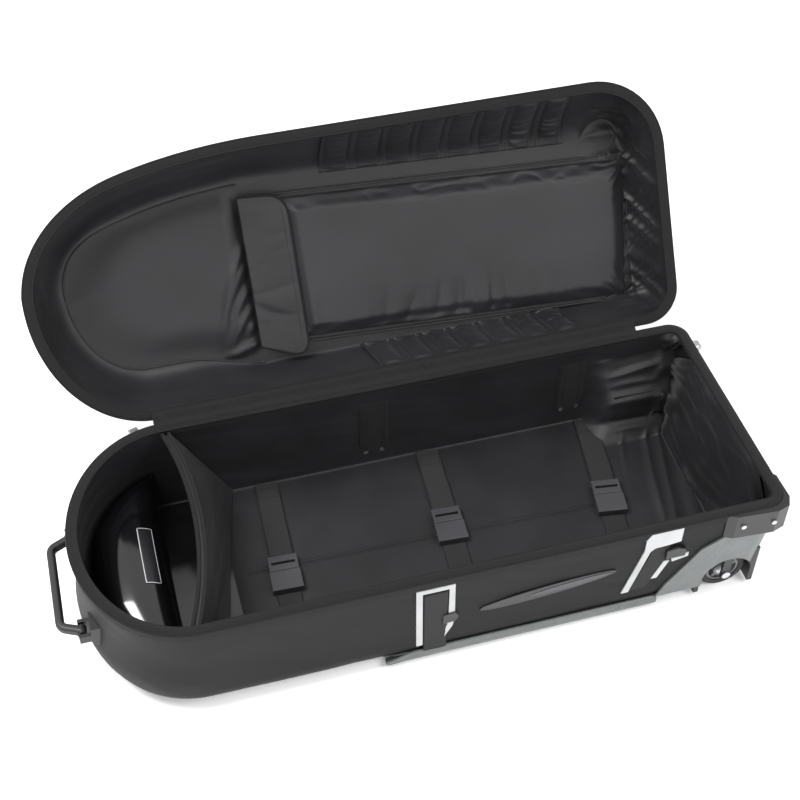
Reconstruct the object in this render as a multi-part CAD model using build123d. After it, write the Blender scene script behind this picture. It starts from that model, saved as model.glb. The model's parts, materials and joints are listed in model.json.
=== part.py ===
from build123d import *
from math import atan, cos, degrees, radians, sqrt
import os

# A wheeled, hard-based gear bag with a long rounded nose, standing open.
# Millimetres. +X runs from the nose to the wheel end, +Y from the front face to the hinge side,
# +Z up. The origin is at the middle of the base, on the floor.

os.makedirs("parts", exist_ok=True)

# ---- driving dimensions ----
LENGTH = 1050          # nose tip to wheel end, at the rim
WIDTH = 406            # front face to hinge face
RIM_Z = 193            # height of the tub's rim
NOSE_DEPTH = 165       # how far the half-ellipse of the nose reaches past the straight sides
CORNER_R = 28          # plan radius of the two wheel-end corners
WALL = 8               # padded wall
END_RAKE = 30          # how much shorter the bag is at its foot than at its rim
FOOT_INSET = 16        # rounding of the tub's lower edge
SKID_Z = 6             # height of the skid runners
BASE_Z = 10            # underside of the fabric tub, on the sled pan
FOOT_Z = 26            # where the lower edge's rounding ends
FLOOR_Z = 18           # top of the floor board

LID_OPEN = 122         # angle of the opened lid from its closed place
RIM_GAP = 1.5          # gap that the closed zipper leaves between the two rims
LID_DEPTH = 112        # closed lid above its rim
SHOULDER_DEPTH = 70    # where the lid's sides start to turn inwards
SHOULDER_INSET = 9
CROWN_INSET = 36

END_X = LENGTH / 2
NOSE_X = NOSE_DEPTH - LENGTH / 2
HALF_W = WIDTH / 2
BAND = 1.2             # rim band sewn round both rims
BAND_Z = 16
HINGE_ROLL_R = 3.5
HINGE_Y = HALF_W + BAND + 0.8 + HINGE_ROLL_R
HINGE_Z = RIM_Z + RIM_GAP / 2
HINGE_X = (-345, 440)
LID_RIM_Z = RIM_Z + RIM_GAP
NOSE_SPLIT_X = NOSE_X
END_SPLIT_X = 455
BIG = 2000

WHEEL_X = 450
WHEEL_Z = 38.5
WHEEL_R = 38
WHEEL_WIDTH = 24
WHEEL_RECESS = 10      # wheel face behind the bag's side
AXLE_R = 4
AXLE_CLEARANCE = 0.05
BEARING_R = 11
BEARING_WIDTH = 7
HUB_R = 27
ARCH_R = WHEEL_R + 4
HOUSING_X = (400, 500)
HOUSING_Z = (8, 90)
HOUSING_WALL = 8
HOUSING_DEPTH = 48

WEBBING = 40
WEBBING_T = 1.6
WEBBING_Z = FLOOR_Z + 1.6
STRAP_END_Y = 184
# x of the buckle, y of the buckle, lean of the strap in plan
STRAPS = [(-214, -21, 2.4), (64, 4, 3.4), (335, -9, 8.0)]


# ---- small helpers ----
def box(x, y, z):
    """A box from three (low, high) pairs."""
    size = (x[1] - x[0], y[1] - y[0], z[1] - z[0])
    middle = ((x[0] + x[1]) / 2, (y[0] + y[1]) / 2, (z[0] + z[1]) / 2)
    return Pos(*middle) * Box(*size)


def rod(radius, start, end):
    """A round bar between two points."""
    axis = Vector(*end) - Vector(*start)
    plane = Plane(origin=start, z_dir=axis)
    return extrude(plane * Circle(radius), axis.length)


def plate(points, plane, thickness, radius=0):
    """A flat plate with one outline and, if asked, rounded corners."""
    face = make_face(Polyline(*points, close=True))
    if radius:
        face = fillet(face.vertices(), radius)
    return extrude(plane * face, thickness)


def save(name, *shapes):
    solids = [solid for shape in shapes for solid in shape.solids()]
    whole = solids[0] if len(solids) == 1 else Compound(children=solids)
    whole.label = name
    export_step(whole, f"parts/{name}.step")


def mirrored(shape):
    """The hinge-side twin of a front-side piece."""
    return mirror(shape, about=Plane.XZ)


# ---- the plan outline that the tub and the lid share ----
def outline(z, inset, end_x=END_X):
    half = HALF_W - inset
    end = end_x - inset
    radius = max(CORNER_R - inset, 6)
    turn = radius * (1 - sqrt(0.5))
    edges = [
        Line((NOSE_X, -half), (end - radius, -half)),
        ThreePointArc((end - radius, -half), (end - turn, -half + turn), (end, -half + radius)),
        Line((end, -half + radius), (end, half - radius)),
        ThreePointArc((end, half - radius), (end - turn, half - turn), (end - radius, half)),
        Line((end - radius, half), (NOSE_X, half)),
        EllipticalCenterArc((NOSE_X, 0), NOSE_DEPTH - inset, half, start_angle=90, arc_size=180),
    ]
    return Wire(edges).moved(Location((0, 0, z)))


def rake(z):
    """Where the sloping wheel end stands at a height."""
    return END_X - END_RAKE * (RIM_Z - z) / (RIM_Z - BASE_Z)


def tub_form(grow, top=RIM_Z, bottom=BASE_Z):
    """The tub's outer form, moved out by grow all round its sides."""
    levels = [(bottom, FOOT_INSET - grow), (FOOT_Z, -grow), (top, -grow)]
    return Solid.make_loft([outline(z, inset, rake(z)) for z, inset in levels], ruled=True)


def lid_form(grow, depth=LID_DEPTH):
    """The closed lid's outer form, moved out by grow all round its sides."""
    crown = SHOULDER_INSET + (CROWN_INSET - SHOULDER_INSET) * (depth - SHOULDER_DEPTH) / (
        LID_DEPTH - SHOULDER_DEPTH
    )
    levels = [(0, -grow), (SHOULDER_DEPTH, SHOULDER_INSET - grow), (depth, crown - grow)]
    return Solid.make_loft([outline(LID_RIM_Z + d, inset) for d, inset in levels], ruled=True)


def opened(shape):
    """Swing a piece of the closed lid back to where the open lid stands."""
    return shape.rotate(Axis((0, HINGE_Y, HINGE_Z), (1, 0, 0)), -LID_OPEN)


def four_walls(shell, prefix, place=lambda shape: shape):
    """Cut one shell into its front, hinge-side, nose and wheel-end walls."""
    straight = (NOSE_SPLIT_X, END_SPLIT_X)
    tall = (-BIG, BIG)
    save(f"{prefix}_front_wall", place(shell & box(straight, (-BIG, 0), tall)))
    save(f"{prefix}_rear_wall", place(shell & box(straight, (0, BIG), tall)))
    save(f"{prefix}_nose_wall", place(shell & box((-BIG, NOSE_SPLIT_X), tall, tall)))
    save(f"{prefix}_wheel_end_wall", place(shell & box((END_SPLIT_X, BIG), tall, tall)))


def housing_block(side):
    """The outer block of a wheel housing; side is -1 at the front and 1 at the hinge side."""
    y = sorted((side * HALF_W, side * (HALF_W - HOUSING_DEPTH)))
    return box(HOUSING_X, y, HOUSING_Z)


def arch_cut(side):
    """The wheel arch, open below and to the side."""
    inner = side * (HALF_W - HOUSING_DEPTH + HOUSING_WALL)
    outer = side * (HALF_W + 10)
    round_part = rod(ARCH_R, (WHEEL_X, inner, WHEEL_Z), (WHEEL_X, outer, WHEEL_Z))
    below = box((WHEEL_X - ARCH_R, WHEEL_X + ARCH_R), sorted((inner, outer)), (-5, WHEEL_Z))
    return round_part + below


# ---- tub ----
def tub():
    shell = tub_form(0) - tub_form(-WALL)
    inside = tub_form(-WALL)
    floor = inside & box((-BIG, BIG), (-BIG, BIG), (BASE_Z, FLOOR_Z))
    for side in (-1, 1):
        shell = shell - housing_block(side)
        floor = floor - housing_block(side)
    four_walls(shell, "tub")
    save("tub_floor_board", floor)

    band_slab = box((-BIG, BIG), (-BIG, BIG), (RIM_Z - BAND_Z, RIM_Z))
    save("tub_rim_band", (tub_form(BAND) - tub_form(0)) & band_slab)

    roll = rod(HINGE_ROLL_R, (HINGE_X[0], HINGE_Y, HINGE_Z), (HINGE_X[1], HINGE_Y, HINGE_Z))
    tape_y = (HALF_W + BAND, HALF_W + BAND + 1.8)
    tape = box(HINGE_X, tape_y, (RIM_Z - BAND_Z - 4, RIM_Z))
    save("hinge_tape", roll + tape)


def divider():
    """A padded wall that bows towards the nose, its foot further from the nose than its top."""
    def bowed(z, far, middle, near, half):
        thick = 16
        front = ThreePointArc((far, half), (middle, 0), (near, -half))
        back = ThreePointArc((near - thick, -half), (middle - thick, 0), (far - thick, half))
        sides = [Line((near, -half), (near - thick, -half)), Line((far - thick, half), (far, half))]
        return Wire([front, sides[0], back, sides[1]]).moved(Location((0, 0, z)))

    foot = bowed(FLOOR_Z, -262, -300, -340, 182)
    top = bowed(184, -345, -325, -360, 182)
    save("divider_wall", Solid.make_loft([foot, top], ruled=True))


def bolster():
    """The glossy rounded pad that fills the nose, with a blank plate on its crown."""
    def profile(grow):
        left, right, brow, shoulder, crown = -500, -384, 70, 96, 133
        points = [
            Line((left, FLOOR_Z), (right, FLOOR_Z)),
            Line((right, FLOOR_Z), (right, shoulder)),
            ThreePointArc((right, shoulder), (-440, crown + grow), (left, brow)),
            Line((left, brow), (left, FLOOR_Z)),
        ]
        return extrude(Plane.XZ * make_face(points), 160, both=True)

    room = tub_form(-WALL - 6)
    pad = profile(0) & room
    save("nose_bolster", pad)
    plate_zone = box((-446, -416), (-74, 74), (100, 150))
    save("bolster_nameplate", (profile(1.6) - profile(0)) & plate_zone)


# ---- sled, wheels and bumpers ----
def sled():
    pan = tub_form(-3, bottom=BASE_Z) & box((-340, HOUSING_X[0]), (-BIG, BIG), (BASE_Z, BASE_Z + 1))
    flat = pan.faces().sort_by(Axis.Z)[0]
    save("sled_pan", extrude(flat, SKID_Z - BASE_Z, dir=(0, 0, 1)))

    def runner(y):
        half = 12
        bar = box((-330, 392), (y - half, y + half), (0, SKID_Z))
        return fillet(bar.edges().filter_by(Axis.Z), half - 1)

    save("skid_runners", *[runner(y) for y in (-120, 0, 120)])

    skin = tub_form(3) - tub_form(0)
    # X and Z of the moulded side's edge: a thin strip that climbs to the rim at the wheel end
    edge = [
        (-102, BASE_Z), (-84, 22), (331, 24), (345, 52), (394, 122),
        (440, 148), (600, 160), (515, 100), (494, 52), (482, BASE_Z),
    ]
    zone = plate(edge, Plane.XZ, 300)
    cheek = (skin & zone) & box((-BIG, BIG), (-BIG, -150), (-BIG, BIG))
    cheek = cheek - housing_block(-1) - arch_cut(-1)
    save("sled_side_front", cheek - guard_form(-1))
    save("sled_side_rear", mirrored(cheek) - guard_form(1))


# plan outlines of the two wheel-end bumpers, before the tub is cut out of them
GUARD_NEAR = [(424, -HALF_W), (440, -211), (504, -215.4), (524, -209), (532, -193), (531, -150),
              (520, -138), (500, -138), (500, -HALF_W + 20), (424, -HALF_W + 20)]
GUARD_SLOPE = 5 / 72   # the long outer face of the near bumper runs out from the side
GUARD_FAR = [(424, HALF_W - 20), (424, HALF_W + 4), (508, HALF_W + 4), (526, HALF_W - 12),
             (526, 150), (500, 150), (500, HALF_W - 20)]


def guard_form(side):
    """The bumper round a wheel-end corner: chunky at the front, a low plate at the hinge side."""
    points, z = (GUARD_NEAR, (142, 191.5)) if side < 0 else (GUARD_FAR, (112, 162))
    face = Plane.XY.offset(z[0]) * make_face(Polyline(*points, close=True))
    block = extrude(face, z[1] - z[0], dir=(0, 0, 1))
    room = tub_form(BAND if side < 0 else 0, top=RIM_Z + 20)
    return block - room


def guards():
    save("corner_guard_front", guard_form(-1))
    save("corner_guard_rear", guard_form(1))


def housing(side):
    block = housing_block(side) - arch_cut(side)
    face_y = side * HALF_W
    strut_y = sorted((face_y, face_y - side * 5))
    strut = box((WHEEL_X - 7, WHEEL_X + 7), strut_y, (WHEEL_Z - 9, HOUSING_Z[1] - 6))
    axle = axle_form(side, AXLE_R)
    return block + strut - axle


def axle_form(side, radius):
    outer = side * (HALF_W + 0.5)
    inner = side * (HALF_W - HOUSING_DEPTH + 1)
    pin = rod(radius, (WHEEL_X, inner, WHEEL_Z), (WHEEL_X, outer, WHEEL_Z))
    head = rod(radius + 3, (WHEEL_X, outer, WHEEL_Z), (WHEEL_X, outer + side * 2.5, WHEEL_Z))
    return pin + head


def wheel(side, name):
    face = side * (HALF_W - WHEEL_RECESS)
    back = side * (HALF_W - WHEEL_RECESS - WHEEL_WIDTH)
    middle = (face + back) / 2

    def disc(radius, half):
        ends = [(WHEEL_X, middle - half, WHEEL_Z), (WHEEL_X, middle + half, WHEEL_Z)]
        return rod(radius, *ends)

    half = WHEEL_WIDTH / 2
    tyre = disc(WHEEL_R, half)
    tyre = fillet(tyre.edges().filter_by(GeomType.CIRCLE), 5) - disc(HUB_R, half + 1)
    save(f"{name}_tyre", tyre)

    # spoked hub: outer ring, boss and five spokes
    ring = disc(HUB_R, half - 2) - disc(HUB_R - 4, half)
    boss = disc(BEARING_R + 4, half - 1)
    spoke = box((-3, 3), (-half + 4, half - 4), (BEARING_R + 3, HUB_R - 3))
    web = Pos(WHEEL_X, middle, WHEEL_Z)
    hub = ring + boss + [web * Rot(0, 72 * k, 0) * spoke for k in range(5)]
    bores = disc(BEARING_R, half)
    save(f"{name}_hub", hub - bores)

    race = half - 1
    bearings = []
    for end in (-1, 1):
        outer_face = middle + end * race
        inner_face = outer_face - end * BEARING_WIDTH
        ends = [(WHEEL_X, outer_face, WHEEL_Z), (WHEEL_X, inner_face, WHEEL_Z)]
        bearings.append(rod(BEARING_R, *ends) - rod(AXLE_R + AXLE_CLEARANCE, *ends))
    save(f"{name}_bearings", *bearings)


def wheels():
    for side, end in ((-1, "front"), (1, "rear")):
        save(f"wheel_housing_{end}", housing(side))
        save(f"wheel_axle_{end}", axle_form(side, AXLE_R))
        wheel(side, f"wheel_{end}")


# ---- nose handle ----
HANDLE_Z = 100
HANDLE_HALF = 88
HANDLE_REACH = 34      # handle bar beyond the nose tip
HANDLE_PIVOT_X = -END_X - 4


def nose_handle():
    bar_x = -END_X - HANDLE_REACH
    bar_half = HANDLE_HALF - 20
    spine = FilletPolyline(
        (HANDLE_PIVOT_X, -HANDLE_HALF, HANDLE_Z), (bar_x, -bar_half - 6, HANDLE_Z),
        (bar_x, bar_half + 6, HANDLE_Z), (HANDLE_PIVOT_X, HANDLE_HALF, HANDLE_Z), radius=14,
    )
    start = Plane(origin=spine @ 0, z_dir=spine % 0)
    grip = sweep(start * RectangleRounded(13, 15, 5), path=spine)
    ends = []
    for side in (-1, 1):
        y = side * HANDLE_HALF
        knuckle = rod(7, (HANDLE_PIVOT_X, y - 7, HANDLE_Z), (HANDLE_PIVOT_X, y + 7, HANDLE_Z))
        ends.append(knuckle)
    bores = [rod(3.3, (HANDLE_PIVOT_X, s * HANDLE_HALF - 20, HANDLE_Z),
                 (HANDLE_PIVOT_X, s * HANDLE_HALF + 20, HANDLE_Z)) for s in (-1, 1)]
    save("nose_handle_grip", grip + ends - bores)

    def anchor(side):
        y = side * HANDLE_HALF
        foot = box((-516, -500), (y - 17, y + 17), (HANDLE_Z - 20, HANDLE_Z + 20))
        cheeks = [
            box((HANDLE_PIVOT_X - 5, -505), (y + e * 14 - 3, y + e * 14 + 3), (HANDLE_Z - 7, HANDLE_Z + 7))
            for e in (-1, 1)
        ]
        pin = rod(3, (HANDLE_PIVOT_X, y - 14, HANDLE_Z), (HANDLE_PIVOT_X, y + 14, HANDLE_Z))
        return foot + cheeks + pin - tub_form(0)

    save("nose_handle_anchors", anchor(-1), anchor(1))


# ---- front face trim ----
def front_plate(points, low, high, radius=0):
    """A plate on the front face: X and Z points, from low to high millimetres proud of it."""
    plane = Plane.XZ.offset(HALF_W + low)
    return plate(points, plane, high - low, radius)


def front_trim():
    left, right, strip = -54, 4, 9
    arch = front_plate([(left, 40), (left, 176), (right, 176), (right, 69), (right - strip, 69),
                        (right - strip, 176 - strip), (left + strip, 176 - strip),
                        (left + strip, 40)], 0, 2)
    save("strap_trim_nose", arch)
    tongue = front_plate([(-43, 24), (-43, 164), (-7, 164), (-7, 24)], 0, 1.8)
    keeper = front_plate([(-43, 84), (-43, 104), (-7, 104), (-7, 84)], 1.8, 5, 3)
    save("strap_webbing_nose", tongue + keeper)

    block = front_plate([(299, 150), (299, 174), (357, 174), (357, 154), (330, 150)], 0, 2)
    leg = front_plate([(299, 150), (309, 150), (284, 54), (274, 54)], 0, 2)
    short_leg = front_plate([(334, 112), (343, 112), (328, 78), (319, 78)], 0, 2)
    save("strap_trim_wheel", block + leg, short_leg)
    band = front_plate([(311, 148), (330, 148), (330, 120), (312, 60), (288, 60)], 0, 1.8)
    clip = front_plate([(332, 118), (332, 136), (366, 140), (366, 122)], 0, 6, 3)
    save("strap_webbing_wheel", band, clip)

    badge = front_plate([(43, 92), (60, 118), (246, 124), (260, 112), (236, 98)], 0, 3, 5)
    save("front_badge", badge)


# ---- inside the tub ----
def back_stays():
    inner = HALF_W - WALL
    for name, x, z in (("nose", (-40, 10), (30, 157)), ("wheel", (308, 357), (40, 155))):
        strap = box(x, (inner - 2.5, inner), z)
        save(f"back_stay_{name}", fillet(strap.edges().filter_by(Axis.Y), 3))


def rivets():
    """Rivet heads: through the stays, along the foot of the rear wall, and by the guards."""
    head_r, head_t = 4, 2.2
    inner = HALF_W - WALL
    stay_face = inner - 2.5
    heads = [(-30, stay_face, 40), (-2, stay_face, 40), (318, stay_face, 50), (346, stay_face, 50),
             (-120, inner, 34), (270, inner, 34), (290, inner, 46), (413, inner, 100),
             (462, inner, 151), (462, inner, 136)]
    shapes = [rod(head_r, (x, y, z), (x, y - head_t, z)) for x, y, z in heads]
    for x in (452, 500):
        y = GUARD_NEAR[1][1] - 0.4 - GUARD_SLOPE * (x - GUARD_NEAR[1][0])
        shapes.append(rod(head_r, (x, y, 168), (x, y - head_t, 168)))
    save("rivets", *shapes)


def floor_strap(index, x, y, lean):
    """Webbing across the floor with a side-release buckle; made along Y, then leaned and placed."""
    socket_y = (-22, 16)
    tail_y = (16.6, 46)
    base = FLOOR_Z + 0.3
    place = Pos(x, y, 0) * Rot(0, 0, -lean)
    half = WEBBING / 2
    reach = 1 / cos(radians(lean))
    webbing_z = (WEBBING_Z, WEBBING_Z + WEBBING_T)
    far = box((-half, half), (24, (STRAP_END_Y - y) * reach), webbing_z)
    near = box((-half, half), ((-STRAP_END_Y - y) * reach, socket_y[0] - 0.3), webbing_z)
    save(f"floor_strap_{index}", place * far, place * near)

    shell = fillet(box((-25, 25), socket_y, (base, 31)).edges(), 1.5)
    cavity = box((-21.5, 21.5), (-14, 20), (22.5, 28.6))
    windows = box((-30, 30), (-8, 6), (22.5, 28.6))
    save(f"buckle_socket_{index}", place * (shell - cavity - windows))

    tail = fillet(box((-24, 24), tail_y, (21.8, 30.5)).edges(), 1.5)
    legs = [box(sorted((s * 21.2, s * 24)), (34, 44), (base, 24)) for s in (-1, 1)]
    bar = box((-24, 24), (36, 42), (base, base + 0.9))
    arms = [box(sorted((s * 13, s * 20.8)), (-10, 20), (23.1, 28)) for s in (-1, 1)]
    guide = box((-3, 3), (-6, 20), (23.1, 28))
    slot = box((-19, 19), (28, 33), (0, 40))
    save(f"buckle_prong_{index}", place * (tail - slot + legs + bar + arms + guide))


def inside():
    back_stays()
    rivets()
    for index, (x, y, lean) in enumerate(STRAPS, 1):
        floor_strap(index, x, y, lean)


# ---- zipper sliders ----
def slider(name, x, y, heading):
    """A slider on the tub's side of the zipper; its travel is along its own X axis."""
    place = Pos(x, y, 0) * Rot(0, 0, heading)
    gap = BAND + 0.5
    body = fillet(box((-8, 8), (gap, gap + 6), (183, 192.5)).edges().filter_by(Axis.Y), 2.5)
    pin_y = gap + 9
    ears = [box((e * 6.5 - 1, e * 6.5 + 1), (gap + 5, pin_y + 1.6), (185, 190)) for e in (-1, 1)]
    pin = rod(1, (-7, pin_y, 187.5), (7, pin_y, 187.5))
    save(f"zip_slider_{name}", place * (body + ears + pin))
    ring = rod(2.6, (-4.5, pin_y, 187.5), (4.5, pin_y, 187.5))
    tab = fillet(box((-4.5, 4.5), (pin_y - 1.1, pin_y + 1.1), (156, 186)).edges().filter_by(Axis.Y), 2)
    bore = rod(1.25, (-8, pin_y, 187.5), (8, pin_y, 187.5))
    save(f"zip_pull_{name}", place * (ring + tab - bore))


def sliders():
    park_x = -400
    along = park_x - NOSE_X
    park_y = HALF_W * sqrt(1 - (along / NOSE_DEPTH) ** 2)
    slope = -(HALF_W / NOSE_DEPTH) ** 2 * along / park_y
    slider("nose", park_x, park_y, degrees(atan(slope)))
    slider("wheel_end", END_X, 150, -90)


# ---- lid ----
# plan corners of the pocket, which is sewn on slightly askew
POCKET = [(-170, -110), (482, -80), (466, 160), (-170, 142)]
POCKET_DEPTH = (84, 104)      # from the lid's rim
FLAP_X = (-172, -100)
FLAP_Y = (-104, 156)
FLAP_DEPTH = (75.4, 83.4)


def lid():
    inner_depth = LID_DEPTH - WALL
    inside_form = lid_form(-WALL, inner_depth)
    shell = lid_form(0) - inside_form
    everywhere = (-BIG, BIG)
    top = (LID_RIM_Z + inner_depth, BIG)
    save("lid_panel", opened(shell & box(everywhere, everywhere, top)))
    sides = shell & box(everywhere, everywhere, (0, LID_RIM_Z + inner_depth))
    four_walls(sides, "lid", opened)

    band_slab = box(everywhere, everywhere, (LID_RIM_Z, LID_RIM_Z + BAND_Z))
    band = (lid_form(BAND) - lid_form(0)) & band_slab
    save("lid_rim_band", opened(band))


def lid_ribs():
    """Sewn padded ribs: up the hinge wall, and on a sloping lining inside the free wall."""
    room = lid_form(-WALL, LID_DEPTH - WALL)
    skin = room - lid_form(-WALL - 5, LID_DEPTH - WALL)
    wall_zone = box((-BIG, BIG), (0, BIG), (LID_RIM_Z + 10, LID_RIM_Z + SHOULDER_DEPTH - 2))
    thick = 6
    # Y and depth of the sloping lining's outer face, from beside the rim to beside the pocket
    slope = [(-198, 8), (-198 + 2 * thick, 8), (-116 + thick, 92), (-116, 92)]
    slope_zone = plate([(y, LID_RIM_Z + depth) for y, depth in slope], Plane.YZ.offset(-100), 600)
    for name, first, pitch, count, form in (
        ("front", -30, 52, 8, room & slope_zone),
        ("rear", 0, 50, 7, skin & wall_zone),
    ):
        ribs = []
        for k in range(count):
            start = first + pitch * k
            cell = box((start, start + pitch - 6), (-BIG, BIG), (0, BIG))
            ribs.append(opened(form & cell))
        save(f"lid_ribs_{name}", *ribs)


def lid_pocket():
    z = (LID_RIM_Z + POCKET_DEPTH[0], LID_RIM_Z + POCKET_DEPTH[1])
    pad = plate(POCKET, Plane.XY, z[1] - z[0]).moved(Location((0, 0, z[0])))
    pad = fillet(pad.edges().filter_by(Axis.Z), 18)
    pad = fillet(pad.faces().sort_by(Axis.Z)[0].edges(), 8)
    save("lid_pocket", opened(pad))

    z = (LID_RIM_Z + FLAP_DEPTH[0], LID_RIM_Z + FLAP_DEPTH[1])
    flap = box(FLAP_X, FLAP_Y, z)
    free_corners = flap.edges().filter_by(Axis.Z).group_by(Axis.X)[-1]
    save("pocket_flap", opened(fillet(free_corners, 24)))


tub()
divider()
bolster()
sled()
guards()
wheels()
nose_handle()
front_trim()
inside()
sliders()
lid()
lid_ribs()
lid_pocket()
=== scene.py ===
import json
import math

import bmesh
import bpy
import numpy as np
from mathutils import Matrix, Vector, noise


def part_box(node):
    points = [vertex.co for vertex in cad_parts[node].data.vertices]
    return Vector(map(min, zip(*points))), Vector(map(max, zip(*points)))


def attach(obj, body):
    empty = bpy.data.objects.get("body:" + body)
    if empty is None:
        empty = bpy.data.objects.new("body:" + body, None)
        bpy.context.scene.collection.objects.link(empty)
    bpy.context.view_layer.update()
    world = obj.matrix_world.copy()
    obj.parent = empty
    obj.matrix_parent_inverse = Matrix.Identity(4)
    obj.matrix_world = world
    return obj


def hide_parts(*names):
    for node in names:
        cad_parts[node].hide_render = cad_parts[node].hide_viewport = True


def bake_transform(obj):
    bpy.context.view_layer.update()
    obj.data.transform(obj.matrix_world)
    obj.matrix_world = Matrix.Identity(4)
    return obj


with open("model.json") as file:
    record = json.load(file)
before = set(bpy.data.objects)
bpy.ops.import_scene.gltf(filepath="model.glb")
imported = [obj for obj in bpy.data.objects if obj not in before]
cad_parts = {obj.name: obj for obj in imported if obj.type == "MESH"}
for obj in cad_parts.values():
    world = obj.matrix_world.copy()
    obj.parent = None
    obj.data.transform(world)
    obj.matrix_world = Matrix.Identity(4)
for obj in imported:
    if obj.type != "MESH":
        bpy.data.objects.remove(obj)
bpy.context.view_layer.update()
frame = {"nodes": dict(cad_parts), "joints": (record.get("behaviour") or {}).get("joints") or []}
nodes = frame["nodes"]
joints = {j["name"]: j for j in frame["joints"]}

MM = 0.001

# ---- sizes read from the frame, in metres ----
RIM_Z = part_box("tub_front_wall")[1].z
BASE_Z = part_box("tub_floor_board")[0].z
FLOOR_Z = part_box("tub_floor_board")[1].z
HALF_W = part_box("tub_nose_wall")[1].y
NOSE_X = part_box("tub_nose_wall")[1].x
NOSE_DEPTH = NOSE_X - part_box("tub_nose_wall")[0].x
END_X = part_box("tub_wheel_end_wall")[1].x
END_RAKE = END_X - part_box("wheel_housing_front")[1].x + 5 * MM
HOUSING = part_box("wheel_housing_front")
HINGE = Vector(joints["lid_hinge"]["pos_m"])
OPEN = math.radians(joints["lid_hinge"]["range_deg"][1])
LID_RIM_Z = 2 * HINGE.z - RIM_Z
WALL = 8 * MM
TUB_CORNER = 28 * MM

# points along each stretch of the plan outline
STRAIGHT, CORNER, END, NOSE = 200, 14, 90, 120

# thread, cord and cloth-simulation settings
STITCH_PITCH = 3.4 * MM
STITCH_LENGTH = 2.3 * MM
STITCH_RADIUS = 0.32 * MM
TUBE_SIDES = 8
VOXEL = 4.5 * MM
CLOTH_FRAMES = 20


# ---------------------------------------------------------------- geometry helpers
def link(obj):
    bpy.context.scene.collection.objects.link(obj)
    return obj


def mesh_object(name, verts, faces, material, cloth=None):
    mesh = bpy.data.meshes.new(name)
    mesh.from_pydata([tuple(v) for v in verts], [], [tuple(f) for f in faces])
    mesh.validate()
    mesh.polygons.foreach_set("use_smooth", [True] * len(mesh.polygons))
    mesh.materials.append(material)
    obj = link(bpy.data.objects.new(name, mesh))
    set_cloth(obj, verts if cloth is None else cloth)
    return obj


def set_cloth(obj, local):
    """Weave coordinates that keep some of each direction on every axis-aligned face."""
    local = np.asarray(local, float)
    pair = np.stack([local[:, 0] + local[:, 1], local[:, 2] - local[:, 1], local[:, 0] * 0], 1)
    layer = obj.data.attributes.get("cloth") or obj.data.attributes.new(
        "cloth", "FLOAT_VECTOR", "POINT")
    layer.data.foreach_set("vector", pair.astype(np.float32).ravel())


def vertex_array(obj):
    co = np.zeros(len(obj.data.vertices) * 3, np.float32)
    obj.data.vertices.foreach_get("co", co)
    return co.reshape(-1, 3).astype(float)


def set_vertices(obj, co):
    obj.data.vertices.foreach_set("co", np.asarray(co, np.float32).ravel())
    obj.data.update()


def grid_faces(rows, cols, wrap=False):
    faces = []
    last = cols if wrap else cols - 1
    for r in range(rows - 1):
        for c in range(last):
            d = (c + 1) % cols
            faces.append((r * cols + c, r * cols + d, (r + 1) * cols + d, (r + 1) * cols + c))
    return faces


def grid_object(name, grid, material, wrap=False, cloth=None):
    """grid is rows x columns x 3; wrap closes the columns."""
    rows, cols = grid.shape[:2]
    local = (grid if cloth is None else cloth).reshape(-1, 3)
    return mesh_object(name, grid.reshape(-1, 3), grid_faces(rows, cols, wrap), material, local)


def grid_normals(grid, wrap):
    if wrap:
        along = np.roll(grid, -1, 1) - np.roll(grid, 1, 1)
    else:
        along = np.gradient(grid, axis=1)
    across = np.gradient(grid, axis=0)
    normal = np.cross(along, across)
    return normal / np.maximum(np.linalg.norm(normal, axis=-1, keepdims=True), 1e-12)


def smoothstep(t):
    t = np.clip(t, 0, 1)
    return t * t * (3 - 2 * t)


def noise_field(points, scale, seed=0.0):
    """Soft noise, about -1 to 1, over points scaled to their wavelengths."""
    shift = Vector((seed * 7.3, seed * 3.1, seed * 5.7))
    scaled = np.asarray(points, float).reshape(-1, 3) / np.asarray(scale, float)
    values = [noise.noise(Vector(p) + shift) for p in scaled]
    return np.array(values).reshape(np.asarray(points).shape[:-1])


def creases(points, scale, seed=0.0, sharp=3.0):
    """Sharp-crested folds, 0 to 1, drawn out along the longer scales."""
    field = np.abs(noise_field(points, scale, seed))
    return np.clip(1 - field * sharp, 0, 1) ** 1.5


def fold_ridges(x, y, folds, width):
    """Drawn-out folds, 0 to 1: each has a start, a direction and a length, and dies away."""
    total = np.zeros(np.shape(x))
    for (x0, y0), (dx, dy), length in folds:
        along = (x - x0) * dx + (y - y0) * dy
        across = (y - y0) * dx - (x - x0) * dy + 0.35 * along ** 2 / length
        t = along / length
        body = smoothstep(t / 0.1 + 0.5) * (1 - smoothstep((t - 0.3) / 0.7))
        total = np.maximum(total, np.exp(-((across / width) ** 2)) * body)
    return total


def merged(obj):
    """Weld the vertices that meet where a dish closes on its middle line."""
    mesh = bmesh.new()
    mesh.from_mesh(obj.data)
    bmesh.ops.remove_doubles(mesh, verts=mesh.verts[:], dist=0.05 * MM)
    mesh.to_mesh(obj.data)
    mesh.free()
    return obj


def modifiers_applied(obj):
    """Bake the object's modifiers into its mesh."""
    graph = bpy.context.evaluated_depsgraph_get()
    baked = bpy.data.meshes.new_from_object(obj.evaluated_get(graph))
    obj.modifiers.clear()
    old = obj.data
    obj.data = baked
    bpy.data.meshes.remove(old)
    return obj


def thicken(obj, thickness, offset=-1.0):
    solid = obj.modifiers.new("solid", "SOLIDIFY")
    solid.thickness = thickness
    solid.offset = offset
    return modifiers_applied(obj)


def subdivide(obj):
    sub = obj.modifiers.new("sub", "SUBSURF")
    sub.levels = sub.render_levels = 1
    return modifiers_applied(obj)


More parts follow.
